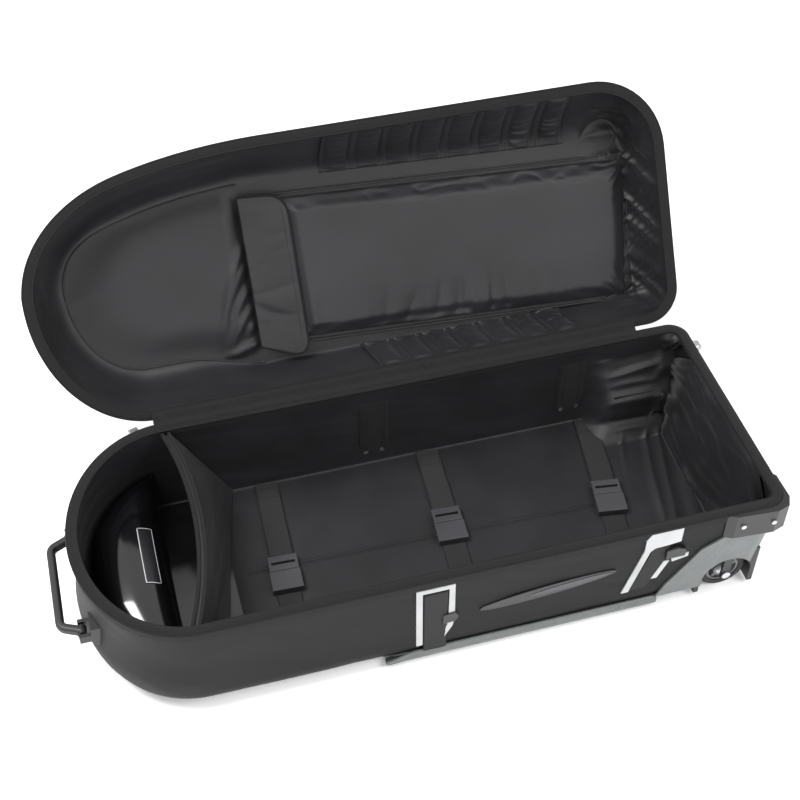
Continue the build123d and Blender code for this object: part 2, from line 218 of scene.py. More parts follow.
def tube(name, path, radius, material, closed=False):
    """A round cord along a path of points."""
    path = np.asarray(path, float)
    count = len(path)
    if closed:
        tangent = np.roll(path, -1, 0) - np.roll(path, 1, 0)
    else:
        tangent = np.gradient(path, axis=0)
    tangent /= np.linalg.norm(tangent, axis=1, keepdims=True)
    side = np.cross(tangent, np.array([0.13, 0.21, 0.97]))
    side /= np.maximum(np.linalg.norm(side, axis=1, keepdims=True), 1e-9)
    lift = np.cross(side, tangent)
    angle = np.linspace(0, 2 * math.pi, TUBE_SIDES, endpoint=False)
    ring = (np.cos(angle)[None, :, None] * side[:, None, :]
            + np.sin(angle)[None, :, None] * lift[:, None, :])
    verts = (path[:, None, :] + radius * ring).reshape(-1, 3)
    faces = []
    for r in range(count if closed else count - 1):
        n = (r + 1) % count
        for c in range(TUBE_SIDES):
            d = (c + 1) % TUBE_SIDES
            low, high = r * TUBE_SIDES, n * TUBE_SIDES
            faces.append((low + c, low + d, high + d, high + c))
    if not closed:
        faces.append(tuple(range(TUBE_SIDES)))
        faces.append(tuple(range((count - 1) * TUBE_SIDES, count * TUBE_SIDES))[::-1])
    return mesh_object(name, verts, faces, material)


def resample(points, step, closed=False):
    """Points evenly spaced along a broken line."""
    points = np.asarray(points, float)
    if closed:
        points = np.vstack([points, points[:1]])
    gaps = np.linalg.norm(np.diff(points, axis=0), axis=1)
    length = np.concatenate([[0], np.cumsum(gaps)])
    count = max(2, int(round(length[-1] / step)) + 1)
    at = np.linspace(0, length[-1], count)
    even = np.stack([np.interp(at, length, points[:, k]) for k in range(3)], 1)
    return even[:-1] if closed else even


def ribbon(name, path, across, width, thickness, material):
    """Flat webbing along a path; across gives the width direction, one vector or one per point."""
    path = np.asarray(path, float)
    across = np.broadcast_to(np.asarray(across, float), path.shape)
    tangent = np.gradient(path, axis=0)
    up = np.cross(across, tangent)
    up /= np.linalg.norm(up, axis=1, keepdims=True)
    half = np.linspace(-0.5, 0.5, 17)
    bulge = np.sqrt(np.clip(1 - (2 * half) ** 8, 0, 1))
    outline_w = np.concatenate([half, half[::-1][1:-1]])
    outline_h = np.concatenate([bulge, -bulge[::-1][1:-1]]) * 0.5
    rows = []
    for k, point in enumerate(path):
        rows.append(point + across[k] * (outline_w[:, None] * width)
                    + up[k] * (outline_h[:, None] * thickness))
    grid = np.array(rows)
    length = np.concatenate([[0], np.cumsum(np.linalg.norm(np.diff(path, axis=0), axis=1))])
    local = np.zeros(grid.shape)
    local[..., 0] = length[:, None]
    local[..., 2] = outline_w[None, :] * width
    sides = grid.shape[1]
    faces = grid_faces(len(path), sides, wrap=True)
    faces.append(tuple(range(sides))[::-1])
    faces.append(tuple(range((len(path) - 1) * sides, len(path) * sides)))
    return mesh_object(name, grid.reshape(-1, 3), faces, material, local.reshape(-1, 3))


def stitches(name, path, normal, material):
    """A row of thread stitches along a line, lying on a surface."""
    path = resample(path, STITCH_PITCH)
    normal = np.broadcast_to(np.asarray(normal, float), path.shape)
    verts, faces = [], []
    for start, stop, up in zip(path[:-1], path[1:], normal[:-1]):
        ahead = stop - start
        ahead = ahead / max(np.linalg.norm(ahead), 1e-9)
        aside = np.cross(ahead, up)
        base = len(verts)
        profile = [(-0.5, 0.2), (-0.3, 1.0), (0.3, 1.0), (0.5, 0.2)]
        for t, rise in profile:
            middle = start + ahead * STITCH_LENGTH * (t + 0.5) + up * STITCH_RADIUS * (rise - 0.5)
            for a, b in ((-1, 0), (0, 1), (1, 0), (0, -1)):
                verts.append(middle + aside * STITCH_RADIUS * a + up * STITCH_RADIUS * b)
        for ring in range(3):
            for c in range(4):
                d = (c + 1) % 4
                low = base + ring * 4
                faces.append((low + c, low + d, low + 4 + d, low + 4 + c))
    return mesh_object(name, np.array(verts), faces, material)


def join(name, parts):
    """Join several meshes into one object."""
    bpy.ops.object.select_all(action="DESELECT")
    for part in parts:
        part.select_set(True)
    bpy.context.view_layer.objects.active = parts[0]
    bpy.ops.object.join()
    parts[0].name = name
    parts[0].data.name = name
    return parts[0]


def puffed(obj, pressure, cap, hold):
    """Blow a closed form up a little as sewn cloth, so that it crowns and creases at its edges.
    cap is the most that a point may move along each axis; hold picks the points that stay put."""
    remesh = obj.modifiers.new("remesh", "REMESH")
    remesh.mode = "VOXEL"
    remesh.voxel_size = VOXEL
    modifiers_applied(obj)
    start = vertex_array(obj)
    group = obj.vertex_groups.new(name="held")
    group.add([int(i) for i in np.nonzero(hold(start))[0]], 1.0, "REPLACE")
    cloth = obj.modifiers.new("cloth", "CLOTH")
    cloth.settings.use_pressure = True
    cloth.settings.uniform_pressure_force = pressure
    cloth.settings.quality = 6
    cloth.settings.mass = 0.25
    cloth.settings.tension_stiffness = 18
    cloth.settings.compression_stiffness = 12
    cloth.settings.bending_stiffness = 0.4
    cloth.settings.effector_weights.gravity = 0
    cloth.settings.vertex_group_mass = "held"
    cloth.point_cache.frame_start = 1
    cloth.point_cache.frame_end = CLOTH_FRAMES
    scene = bpy.context.scene
    for number in range(1, CLOTH_FRAMES + 1):
        scene.frame_set(number)
    modifiers_applied(obj)
    scene.frame_set(1)
    move = vertex_array(obj) - start
    set_vertices(obj, start + np.clip(move, [-c for c in cap], cap))
    obj.data.polygons.foreach_set("use_smooth", [True] * len(obj.data.polygons))
    return subdivide(obj)


# ---------------------------------------------------------------- the bag's plan outline
def plan_loop(inset, end_x, near_corner, far_corner):
    """The shared plan outline as N x 2 points, from the front side round by the wheel end."""
    half = HALF_W - inset
    end = end_x - inset
    near = max(near_corner - inset, 4 * MM)
    far = max(far_corner - inset, 4 * MM)

    def span(count):
        return np.linspace(0, 1, count, endpoint=False)

    t = span(STRAIGHT)
    front = np.stack([NOSE_X + (end - near - NOSE_X) * t, np.full(STRAIGHT, -half)], 1)
    a = -math.pi / 2 + span(CORNER) * math.pi / 2
    corner_1 = np.stack([end - near + near * np.cos(a), -half + near + near * np.sin(a)], 1)
    side = np.stack([np.full(END, end), -half + near + (2 * half - near - far) * span(END)], 1)
    a = span(CORNER) * math.pi / 2
    corner_2 = np.stack([end - far + far * np.cos(a), half - far + far * np.sin(a)], 1)
    rear = np.stack([end - far + (NOSE_X - end + far) * t, np.full(STRAIGHT, half)], 1)
    a = math.pi / 2 + span(NOSE) * math.pi
    nose = np.stack([NOSE_X + (NOSE_DEPTH - inset) * np.cos(a), half * np.sin(a)], 1)
    return np.vstack([front, corner_1, side, corner_2, rear, nose])


def ring(loop, z):
    return np.column_stack([loop, np.full(len(loop), z)])


def toward_middle(outer, z_middle, count, left, right):
    """Rings that close a dish from its last wall ring to its middle line."""
    middle = outer.copy()
    middle[:, 0] = np.clip(outer[:, 0], left, right)
    middle[:, 1] = 0
    middle[:, 2] = z_middle
    steps = np.linspace(0, 1, count + 1)[1:]
    return [outer * (1 - t) + middle * t for t in steps]


def rake(z):
    return END_X - END_RAKE * (RIM_Z - z) / (RIM_Z - BASE_Z)


def to_lid(points):
    """Swing points of the closed lid back to the open rest pose."""
    points = np.asarray(points, float)
    y = points[..., 1] - HINGE.y
    z = points[..., 2] - HINGE.z
    c, s = math.cos(-OPEN), math.sin(-OPEN)
    return np.stack([points[..., 0], HINGE.y + y * c - z * s, HINGE.z + y * s + z * c], -1)


def lid_vector(x, y, z):
    c, s = math.cos(-OPEN), math.sin(-OPEN)
    return np.array([x, y * c - z * s, y * s + z * c])


# ---------------------------------------------------------------- materials
class Nodes:
    """A small hand for building one material's node tree."""

    def __init__(self, name):
        self.material = bpy.data.materials.new(name)
        self.material.use_nodes = True
        self.tree = self.material.node_tree
        self.shader = self.tree.nodes["Principled BSDF"]

    def add(self, kind, **values):
        node = self.tree.nodes.new(kind)
        for key, value in values.items():
            if hasattr(node, key):
                setattr(node, key, value)
            else:
                node.inputs[key.replace("_", " ").title()].default_value = value
        return node

    def link(self, start, end):
        self.tree.links.new(start, end)

    def math(self, operation, a, b=None):
        node = self.add("ShaderNodeMath", operation=operation)
        for index, value in enumerate((a, b)):
            if value is None:
                continue
            if isinstance(value, (int, float)):
                node.inputs[index].default_value = value
            else:
                self.link(value, node.inputs[index])
        return node.outputs[0]

    def ramp(self, factor, dark, light):
        node = self.add("ShaderNodeValToRGB")
        node.color_ramp.elements[0].position = 0.3
        node.color_ramp.elements[1].position = 0.7
        node.color_ramp.elements[0].color = (*dark, 1)
        node.color_ramp.elements[1].color = (*light, 1)
        self.link(factor, node.inputs["Fac"])
        return node.outputs["Color"]

    def span(self, factor, low, high):
        node = self.add("ShaderNodeMapRange")
        node.inputs["To Min"].default_value = low
        node.inputs["To Max"].default_value = high
        self.link(factor, node.inputs["Value"])
        return node.outputs["Result"]


def shade(colour, factor):
    return tuple(c * factor for c in colour)


def fabric(name, colour, rough=0.62, period=1.5 * MM, weave=0.25, sheen=0.12, specular=0.4,
           twill=False):
    """Woven nylon: threads both ways, a soft sheen, and slow changes of tone and gloss."""
    n = Nodes(name)
    where = n.add("ShaderNodeAttribute", attribute_name="cloth").outputs["Vector"]
    place = n.add("ShaderNodeTexCoord").outputs["Object"]
    split = n.add("ShaderNodeSeparateXYZ")
    n.link(where, split.inputs[0])
    turn = 2 * math.pi / period
    along = n.math("MULTIPLY", split.outputs["X"], turn)
    across = n.math("MULTIPLY", split.outputs["Y"], turn)
    if twill:
        across = n.math("ADD", across, n.math("MULTIPLY", along, 1.0))
    threads = n.math("MULTIPLY", n.math("SINE", along), n.math("SINE", across))
    slow = n.add("ShaderNodeTexNoise", scale=9.0, detail=3.0)
    n.link(place, slow.inputs["Vector"])
    fine = n.add("ShaderNodeTexNoise", scale=420.0, detail=2.0)
    n.link(place, fine.inputs["Vector"])
    tone = n.ramp(slow.outputs["Fac"], shade(colour, 0.75), shade(colour, 1.25))
    speck = n.add("ShaderNodeMix", data_type="RGBA", blend_type="MULTIPLY")
    speck.inputs["Factor"].default_value = 0.35
    n.link(tone, speck.inputs["A"])
    n.link(n.ramp(fine.outputs["Fac"], (0.6, 0.6, 0.6), (1.3, 1.3, 1.3)), speck.inputs["B"])
    n.link(speck.outputs["Result"], n.shader.inputs["Base Color"])
    n.link(n.span(slow.outputs["Fac"], rough - 0.08, rough + 0.08), n.shader.inputs["Roughness"])
    bump = n.add("ShaderNodeBump", strength=weave, distance=0.0003)
    height = n.math("ADD", threads, n.math("MULTIPLY", fine.outputs["Fac"], 0.8))
    n.link(height, bump.inputs["Height"])
    n.link(bump.outputs["Normal"], n.shader.inputs["Normal"])
    n.shader.inputs["Sheen Weight"].default_value = sheen
    n.shader.inputs["Sheen Roughness"].default_value = 0.45
    n.shader.inputs["Specular IOR Level"].default_value = specular
    return n.material


def webbing(name, colour, rib=1.6 * MM, specular=0.18):
    """Belt webbing: ribs across its length with a fine herringbone."""
    n = Nodes(name)
    where = n.add("ShaderNodeAttribute", attribute_name="cloth").outputs["Vector"]
    split = n.add("ShaderNodeSeparateXYZ")
    n.link(where, split.inputs[0])
    turn = 2 * math.pi / rib
    along = n.math("SINE", n.math("MULTIPLY", split.outputs["X"], turn))
    across = n.math("SINE", n.math("MULTIPLY", split.outputs["Y"], turn * 1.4))
    pattern = n.math("ADD", along, n.math("MULTIPLY", across, 0.6))
    fine = n.add("ShaderNodeTexNoise", scale=500.0, detail=2.0)
    n.link(where, fine.inputs["Vector"])
    n.link(n.ramp(fine.outputs["Fac"], shade(colour, 0.65), shade(colour, 1.35)),
           n.shader.inputs["Base Color"])
    n.link(n.span(fine.outputs["Fac"], 0.69, 0.81), n.shader.inputs["Roughness"])
    bump = n.add("ShaderNodeBump", strength=0.5, distance=0.0004)
    n.link(pattern, bump.inputs["Height"])
    n.link(bump.outputs["Normal"], n.shader.inputs["Normal"])
    n.shader.inputs["Sheen Weight"].default_value = 0.03
    n.shader.inputs["Specular IOR Level"].default_value = specular
    return n.material


def plastic(name, colour, rough=0.42, grain=900.0, bump_size=0.12, coat=0.0, scuffs=0.0):
    """Moulded plastic: fine spark grain, faint unevenness, and scuffs on what gets knocked."""
    n = Nodes(name)
    place = n.add("ShaderNodeTexCoord").outputs["Object"]
    slow = n.add("ShaderNodeTexNoise", scale=14.0, detail=4.0)
    n.link(place, slow.inputs["Vector"])
    pits = n.add("ShaderNodeTexVoronoi", scale=grain)
    n.link(place, pits.inputs["Vector"])
    worn = n.add("ShaderNodeTexNoise", scale=65.0, detail=6.0, distortion=1.2)
    n.link(place, worn.inputs["Vector"])
    tone = n.ramp(slow.outputs["Fac"], shade(colour, 0.85), shade(colour, 1.15))
    rub = n.add("ShaderNodeMix", data_type="RGBA")
    wear = n.span(worn.outputs["Fac"], -0.9 * scuffs, 1.3 * scuffs)
    n.link(n.math("MAXIMUM", wear, 0.0), rub.inputs["Factor"])
    n.link(tone, rub.inputs["A"])
    rub.inputs["B"].default_value = (*shade(colour, 2.2), 1)
    n.link(rub.outputs["Result"], n.shader.inputs["Base Color"])
    n.link(n.span(slow.outputs["Fac"], rough - 0.07, rough + 0.07), n.shader.inputs["Roughness"])
    bump = n.add("ShaderNodeBump", strength=bump_size, distance=0.0002)
    n.link(pits.outputs["Distance"], bump.inputs["Height"])
    n.link(bump.outputs["Normal"], n.shader.inputs["Normal"])
    n.shader.inputs["Coat Weight"].default_value = coat
    n.shader.inputs["Coat Roughness"].default_value = 0.15
    return n.material


def metal(name, colour, rough=0.3):
    """Plated steel with fine brushing and slight tarnish."""
    n = Nodes(name)
    place = n.add("ShaderNodeTexCoord").outputs["Object"]
    brush = n.add("ShaderNodeTexNoise", scale=300.0, detail=3.0)
    n.link(place, brush.inputs["Vector"])
    n.link(n.ramp(brush.outputs["Fac"], shade(colour, 0.8), shade(colour, 1.1)),
           n.shader.inputs["Base Color"])
    n.link(n.span(brush.outputs["Fac"], rough - 0.08, rough + 0.1), n.shader.inputs["Roughness"])
    n.shader.inputs["Metallic"].default_value = 1.0
    return n.material


SHELL = fabric("shell_nylon", (0.0055, 0.0055, 0.006), rough=0.58, period=1.6 * MM, weave=0.3,
               sheen=0.02, specular=0.17)
LINING = fabric("lining_nylon", (0.0085, 0.0085, 0.0098), rough=0.45, period=1.3 * MM, weave=0.2,
                sheen=0.05, specular=0.32, twill=True)
POCKET = fabric("pocket_nylon", (0.0095, 0.0095, 0.011), rough=0.45, period=1.3 * MM, weave=0.2,
                sheen=0.05, specular=0.34, twill=True)
TAPE = webbing("binding_tape", (0.0075, 0.0075, 0.008), rib=0.9 * MM)
BELT = webbing("belt_webbing", (0.014, 0.014, 0.0145), specular=0.25)
THREAD = fabric("thread", (0.014, 0.014, 0.015), rough=0.6, period=0.6 * MM, sheen=0.02,
                specular=0.2)
VINYL = plastic("gloss_vinyl", (0.002, 0.002, 0.0025), rough=0.14, grain=500.0, bump_size=0.03,
                coat=0.6)
SLED = plastic("sled_plastic", (0.085, 0.092, 0.09), rough=0.34, grain=700.0, scuffs=0.25)
BLACK = plastic("black_plastic", (0.006, 0.006, 0.0065), rough=0.38, scuffs=0.15)
SILVER = plastic("silver_trim", (0.36, 0.365, 0.37), rough=0.42, grain=1200.0, bump_size=0.05)
BADGE = plastic("badge_rubber", (0.008, 0.008, 0.009), rough=0.3, bump_size=0.05)
BUCKLE = plastic("buckle_plastic", (0.03, 0.03, 0.034), rough=0.26, grain=1000.0,
                 bump_size=0.06)
TYRE = plastic("tyre_rubber", (0.008, 0.008, 0.008), rough=0.7, grain=600.0, scuffs=0.3)
HUB = plastic("hub_plastic", (0.10, 0.105, 0.11), rough=0.35)
GRIP = plastic("handle_rubber", (0.006, 0.006, 0.0065), rough=0.5, scuffs=0.1)
STEEL = metal("plated_steel", (0.6, 0.6, 0.61))
ZIP = metal("zip_metal", (0.5, 0.5, 0.51), rough=0.35)


def paint(material, *names):
    for name in names:
        nodes[name].data.materials.clear()
        nodes[name].data.materials.append(material)


# ---------------------------------------------------------------- tub
def tub_ring(inset, z):
    return ring(plan_loop(inset, rake(z), TUB_CORNER, TUB_CORNER), z)


def nose_share(points):
    """1 round the nose, fading to 0 on the straight sides."""
    return smoothstep((NOSE_X + 40 * MM - points[..., 0]) / (130 * MM))


def tub_shell():
    """The outside fabric: gently wavy sides, a rounded and slightly swollen nose."""
    levels = [RIM_Z - 1 * MM - k * 6 * MM for k in range(26)]
    rings = []
    for z in levels:
        rings.append(tub_ring(0, z))
    for inset, z in ((1, 36), (3, 29), (6, 22), (10, 16.5), (16, 12), (24, 10.2), (40, 10)):
        rings.append(tub_ring(inset * MM, z * MM))
    rings += toward_middle(tub_ring(40 * MM, BASE_Z), BASE_Z, 5, -0.25, 0.38)
    grid = np.array(rings)
    normal = grid_normals(grid, True)
    out = np.sign((grid[..., :2] * normal[..., :2]).sum(-1).mean()) * normal
    share = nose_share(grid)
    height = grid[..., 2]
    swell = 8 * MM * share * np.exp(-(((height - 62 * MM) / (38 * MM)) ** 2))
    tuck = 9 * MM * share * smoothstep((40 * MM - height) / (30 * MM)) ** 2
    side = height > 14 * MM
    edge = smoothstep((RIM_Z - height) / (30 * MM))
    stretch = (0.16, 0.16, 0.05)
    ripple = 0.9 * MM * noise_field(grid, stretch, 1.0) * edge
    pull = 0.6 * MM * creases(grid + [0, 0, 0.3] * grid[..., :1], (0.3, 0.3, 0.05), 2.0) * edge
    offset = (swell - tuck + np.minimum(ripple - pull, 0.6 * MM)) * side
    grid = grid + out * np.where(np.abs(out[..., 2:]) > 0.8, 0, 1) * offset[..., None]
    shell = merged(grid_object("tub_shell", grid, SHELL, wrap=True))
    open_over_wheels(shell)
    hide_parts("tub_front_wall", "tub_rear_wall", "tub_nose_wall", "tub_wheel_end_wall")
    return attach(shell, "tub")


def open_over_wheels(obj):
    """Take away the cloth in front of and under the two wheel housings."""
    mesh = bmesh.new()
    mesh.from_mesh(obj.data)
    low_x, high_x = HOUSING[0].x - 4 * MM, HOUSING[1].x + 4 * MM
    inner = -HOUSING[1].y - 4 * MM
    doomed = []
    for face in mesh.faces:
        c = face.calc_center_median()
        if low_x < c.x < high_x and abs(c.y) > inner and c.z < HOUSING[1].z + 3 * MM:
            doomed.append(face)
    bmesh.ops.delete(mesh, geom=doomed, context="FACES")
    mesh.to_mesh(obj.data)
    mesh.free()


def over_housings(grid):
    """Drape the lining over the wheel housings: down the wall, across, and out to the floor."""
    x, y, z = grid[..., 0], grid[..., 1], grid[..., 2]
    foot = 116 * MM
    lip = 150 * MM
    inner = -HOUSING[1].y - 4 * MM
    top = HOUSING[1].z + 3 * MM
    wall_y = HALF_W - WALL
    share = smoothstep((x - (HOUSING[0].x - 52 * MM)) / (50 * MM))
    along = np.abs(y) + np.clip(z - FLOOR_Z, 0, None)
    stations = [foot, wall_y - 34 * MM, wall_y - 8 * MM, wall_y + 20 * MM, wall_y + 0.130]
    drape_y = [foot, inner - 4 * MM, inner, inner + 16 * MM, wall_y - 1 * MM]
    drape_z = [FLOOR_Z + 1 * MM, FLOOR_Z + 26 * MM, top - 12 * MM, top + 4 * MM, lip]
    new_y = np.interp(along, stations, drape_y)
    new_z = np.interp(along, stations, drape_z)
    near = (along > stations[0]) & (along < stations[-1]) & (np.abs(y) > stations[0])
    out = grid.copy()
    out[..., 1] = np.where(near, y + (np.sign(y) * new_y - y) * share, y)
    out[..., 2] = np.where(near, z + (new_z - z) * share, z)
    return out


def tub_lining():
    """The inside cloth: smooth walls, a flat seamed floor, and loose folds at the wheel end."""
    rings = []
    for z in np.linspace(RIM_Z - 3 * MM, FLOOR_Z + 6 * MM, 34):
        foot = max(0, 60 * MM - z) * 0.17
        rings.append(tub_ring(WALL + 0.6 * MM + foot, z))
    for inset, lift in ((15.9, 3), (16.6, 1.6), (18.2, 0.9), (21, 0.7)):
        rings.append(tub_ring(inset * MM, FLOOR_Z + lift * MM))
    last = tub_ring(21 * MM, FLOOR_Z + 0.7 * MM)
    rings += toward_middle(last, FLOOR_Z + 0.7 * MM, 40, -0.28, 0.36)
    grid = over_housings(np.array(rings))
    normal = grid_normals(grid, True)
    middle = np.array([0.1, 0, 0.3])
    inward = normal * np.sign(((middle - grid) * normal).sum(-1, keepdims=True))
    inward[-3:] = (0, 0, 1)
    x, y, z = grid[..., 0], grid[..., 1], grid[..., 2]
    loose = smoothstep((x - 0.375) / 0.05)
    on_floor = smoothstep((FLOOR_Z + 12 * MM - z) / (10 * MM))
    edge = smoothstep((RIM_Z - 4 * MM - z) / (16 * MM))
    slant = grid.copy()
    slant[..., 2] += 0.12 * x
    calm = 1.6 * MM * creases(slant, (0.4, 0.5, 0.034), 3.0, 2.5) * (1 - on_floor)
    calm += 0.9 * MM * (noise_field(grid, (0.09, 0.09, 0.06), 4.0) + 0.6)
    floor_folds = np.stack([x - 0.28 * y, y, z * 0], -1)
    corrugated = 4.5 * MM * creases(floor_folds, (0.030, 0.26, 1.0), 5.0, 2.2)
    on_end = smoothstep((x - (rake(z) - 40 * MM)) / (20 * MM))
    hanging = np.stack([x * 0, y, z + 0.16 * y - 0.25 * y * y / HALF_W], -1)
    swags = 7.0 * MM * creases(hanging, (1.0, 0.70, 0.034), 7.0, 1.9)
    swags += 3.0 * MM * creases(np.stack([x * 0, y, z - 0.45 * y], -1), (1, 0.40, 0.045), 8.0, 2.2)
    draped = 4.5 * MM * creases(np.stack([x, x * 0, y + z], -1), (0.20, 1.0, 0.040), 9.0, 2.0)
    level = on_floor * (1 - smoothstep((x - 0.478) / 0.01))
    upright = (swags * on_end + draped * (1 - on_end)) * edge
    height = calm * (1 - loose) * (1 - 0.85 * on_floor)
    height = height + loose * (corrugated * level + upright * (1 - level))
    grid = grid + inward * (height * np.where(on_floor > 0.5, 1, edge))[..., None]
    lining = merged(grid_object("tub_lining", grid, LINING, wrap=True))
    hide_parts("tub_floor_board")
    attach(lining, "tub")


def rim_binding(name, ring_at, replaced, body, place):
    """The bound edge that carries the zipper: a folded tape over the wall's top."""
    section = [(-1.2, 16), (-1.4, 8), (-1.3, 2), (0.2, 0.2), (3, -0.3), (8, 0.0), (13, 0.4),
               (14.4, 1.6), (13.2, 3.0), (9.4, 5), (9.0, 14)]
    rings = [ring_at(inset * MM, drop * MM) for inset, drop in section]
    grid = np.array(rings)
    band = grid_object(name, place(grid), TAPE, wrap=True, cloth=grid)
    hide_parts(replaced)
    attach(band, body)
    for k, (inset, drop, radius) in enumerate(((-0.9, 2.2, 2.0), (14.0, 1.6, 1.7))):
        path = ring_at(inset * MM, drop * MM)
        cord = tube(f"{name}_piping_{k + 1}", place(path), radius * MM, SHELL, closed=True)
        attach(cord, body)
    seam = resample(ring_at(5 * MM, -0.25 * MM), 3.5 * MM, closed=True)
    rows = stitches(f"{name}_stitches", place(seam), normal_of(place), THREAD)
    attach(rows, body)


def normal_of(place):
    """Where a placing turns +Z."""
    pair = place(np.array([[0, 0, 0], [0, 0, 1.0]]))
    return pair[1] - pair[0]


def floor_seam():
    """The stitched seam along the floor: a cord with a row of stitches on each side."""
    z = FLOOR_Z + 1.3 * MM
    left, right = -0.27, 0.37
    seam = resample([(left, 0.012, z), (right, -0.004, z)], 6 * MM)
    cord = tube("floor_seam", seam, 0.9 * MM, LINING)
    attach(cord, "tub")
    for k, gap in enumerate((-4 * MM, 4 * MM)):
        row = stitches(f"floor_seam_stitches_{k + 1}", seam + [0, gap, 0], (0, 0, 1), THREAD)
        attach(row, "tub")


# ---------------------------------------------------------------- lid
FREE_CORNER = 115 * MM
HINGE_CORNER = 56 * MM
SLACK_X = -125 * MM      # the open lid's free edge falls in from here to the nose tip
SLACK = 0.7

OUTER = [(0, 0), (1, 8), (2, 18), (3.5, 30), (5, 44), (7.5, 58), (11, 72), (16, 84), (23, 95),
         (31, 103), (40, 108.5), (52, 111.5), (66, 113)]
LINING_INSET = 9 * MM
LINING_DEPTH = 94 * MM


def slack(x, y):
    """How far the open lid's soft free edge has fallen towards the hinge."""
    tip = NOSE_X - NOSE_DEPTH
    full = np.sqrt(np.clip(1 - (np.minimum(x - NOSE_X, 0) / NOSE_DEPTH) ** 2, 0, 1))
    t = np.clip((SLACK_X - x) / (SLACK_X - tip), 0, 1)
    fallen = np.sqrt(1 - t ** 2)
    share = np.clip(-y / (HALF_W * np.maximum(full, 0.02)), 0, 1)
    return SLACK * HALF_W * (full - fallen) * share


def lid_ring(inset, depth):
    """A ring of the closed lid, with the slack free edge of its nose."""
    points = ring(plan_loop(inset, END_X, FREE_CORNER, HINGE_CORNER), LID_RIM_Z + depth)
    points[:, 1] += slack(points[:, 0], points[:, 1])
    return points


def lid_rings(profile, per_step):
    steps = np.arange(0, len(profile) - 1 + 1e-9, 1 / per_step)
    inset = np.interp(steps, range(len(profile)), [p[0] for p in profile])
    depth = np.interp(steps, range(len(profile)), [p[1] for p in profile])
    return [lid_ring(i * MM, d * MM) for i, d in zip(inset, depth)]


def lining_width(x, y):
    """How far the sloping lining runs in from the rim, by place round the lid."""
    free = (73 * MM + 0.045 * np.clip(x, -0.17, 0.45)) * smoothstep((-y + 30 * MM) / (150 * MM))
    hinge = (27 + 26 * smoothstep((-0.16 - x) / 0.14)) * MM * smoothstep((y + 30 * MM) / (150 * MM))
    nose = 50 * MM
    wheel = 34 * MM
    at_nose = smoothstep((NOSE_X - x) / (NOSE_DEPTH * 0.9))
    at_wheel = smoothstep((x - (END_X - 100 * MM)) / (70 * MM))
    side = np.maximum(free + hinge, 26 * MM)
    return (side * (1 - at_nose) + nose * at_nose) * (1 - at_wheel) + wheel * at_wheel


def slope_depth(t):
    """Depth of the lining below the rim, at share t of its way in from the rim."""
    return 2 * MM + LINING_DEPTH * np.sin(t * math.pi / 2) ** 0.9


def lid_shell():
    """The lid's outside: a shell with soft waves, crowned across its back."""
    rings = lid_rings(OUTER, 2)
    rings += toward_middle(rings[-1], LID_RIM_Z + OUTER[-1][1] * MM + 2 * MM, 22, -0.27, 0.36)
    grid = np.array(rings)
    normal = grid_normals(grid, True)
    core = np.array([0, 0, LID_RIM_Z + 0.02])
    normal *= np.sign(((grid - core) * normal).sum(-1, keepdims=True))
    normal[-3:] = (0, 0, 1)
    edge = smoothstep((grid[..., 2] - LID_RIM_Z) / (25 * MM))
    wave = 2.2 * MM * noise_field(grid, (0.14, 0.14, 0.07), 11.0)
    crease = 2.0 * MM * creases(grid + [0, 0, 0.2] * grid[..., :1], (0.22, 0.22, 0.03), 12.0)
    grid = grid + normal * ((wave - crease) * edge)[..., None]
    shell = merged(grid_object("lid_shell", to_lid(grid), SHELL, wrap=True, cloth=grid))
    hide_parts("lid_panel", "lid_front_wall", "lid_rear_wall", "lid_nose_wall",
                "lid_wheel_end_wall")
    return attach(shell, "lid")


def lining_ring(t):
    """One ring of the sloping lining, share t of the way in from the rim."""
    rim = lid_ring(LINING_INSET, 0)
    ahead = np.roll(rim, -1, 0) - np.roll(rim, 1, 0)
    inward = np.stack([-ahead[:, 1], ahead[:, 0]], 1)
    inward /= np.linalg.norm(inward, axis=1, keepdims=True)
    width = lining_width(rim[:, 0], rim[:, 1])
    out = rim.copy()
    out[:, :2] += inward * (width * t)[:, None]
    out[:, 2] = LID_RIM_Z + slope_depth(t)
    return out


# folds of the nose lining: start on the pocket's seam, direction, and length, in metres
NOSE_FOLDS = [((-0.17, -0.032), (-0.60, 0.80), 0.20), ((-0.17, -0.004), (-0.69, 0.72), 0.16),
              ((-0.17, 0.036), (-0.77, 0.64), 0.085), ((-0.17, 0.068), (-0.79, 0.62), 0.11),
              ((-0.17, 0.096), (-0.87, 0.50), 0.035), ((-0.17, 0.132), (-0.98, 0.17), 0.14)]


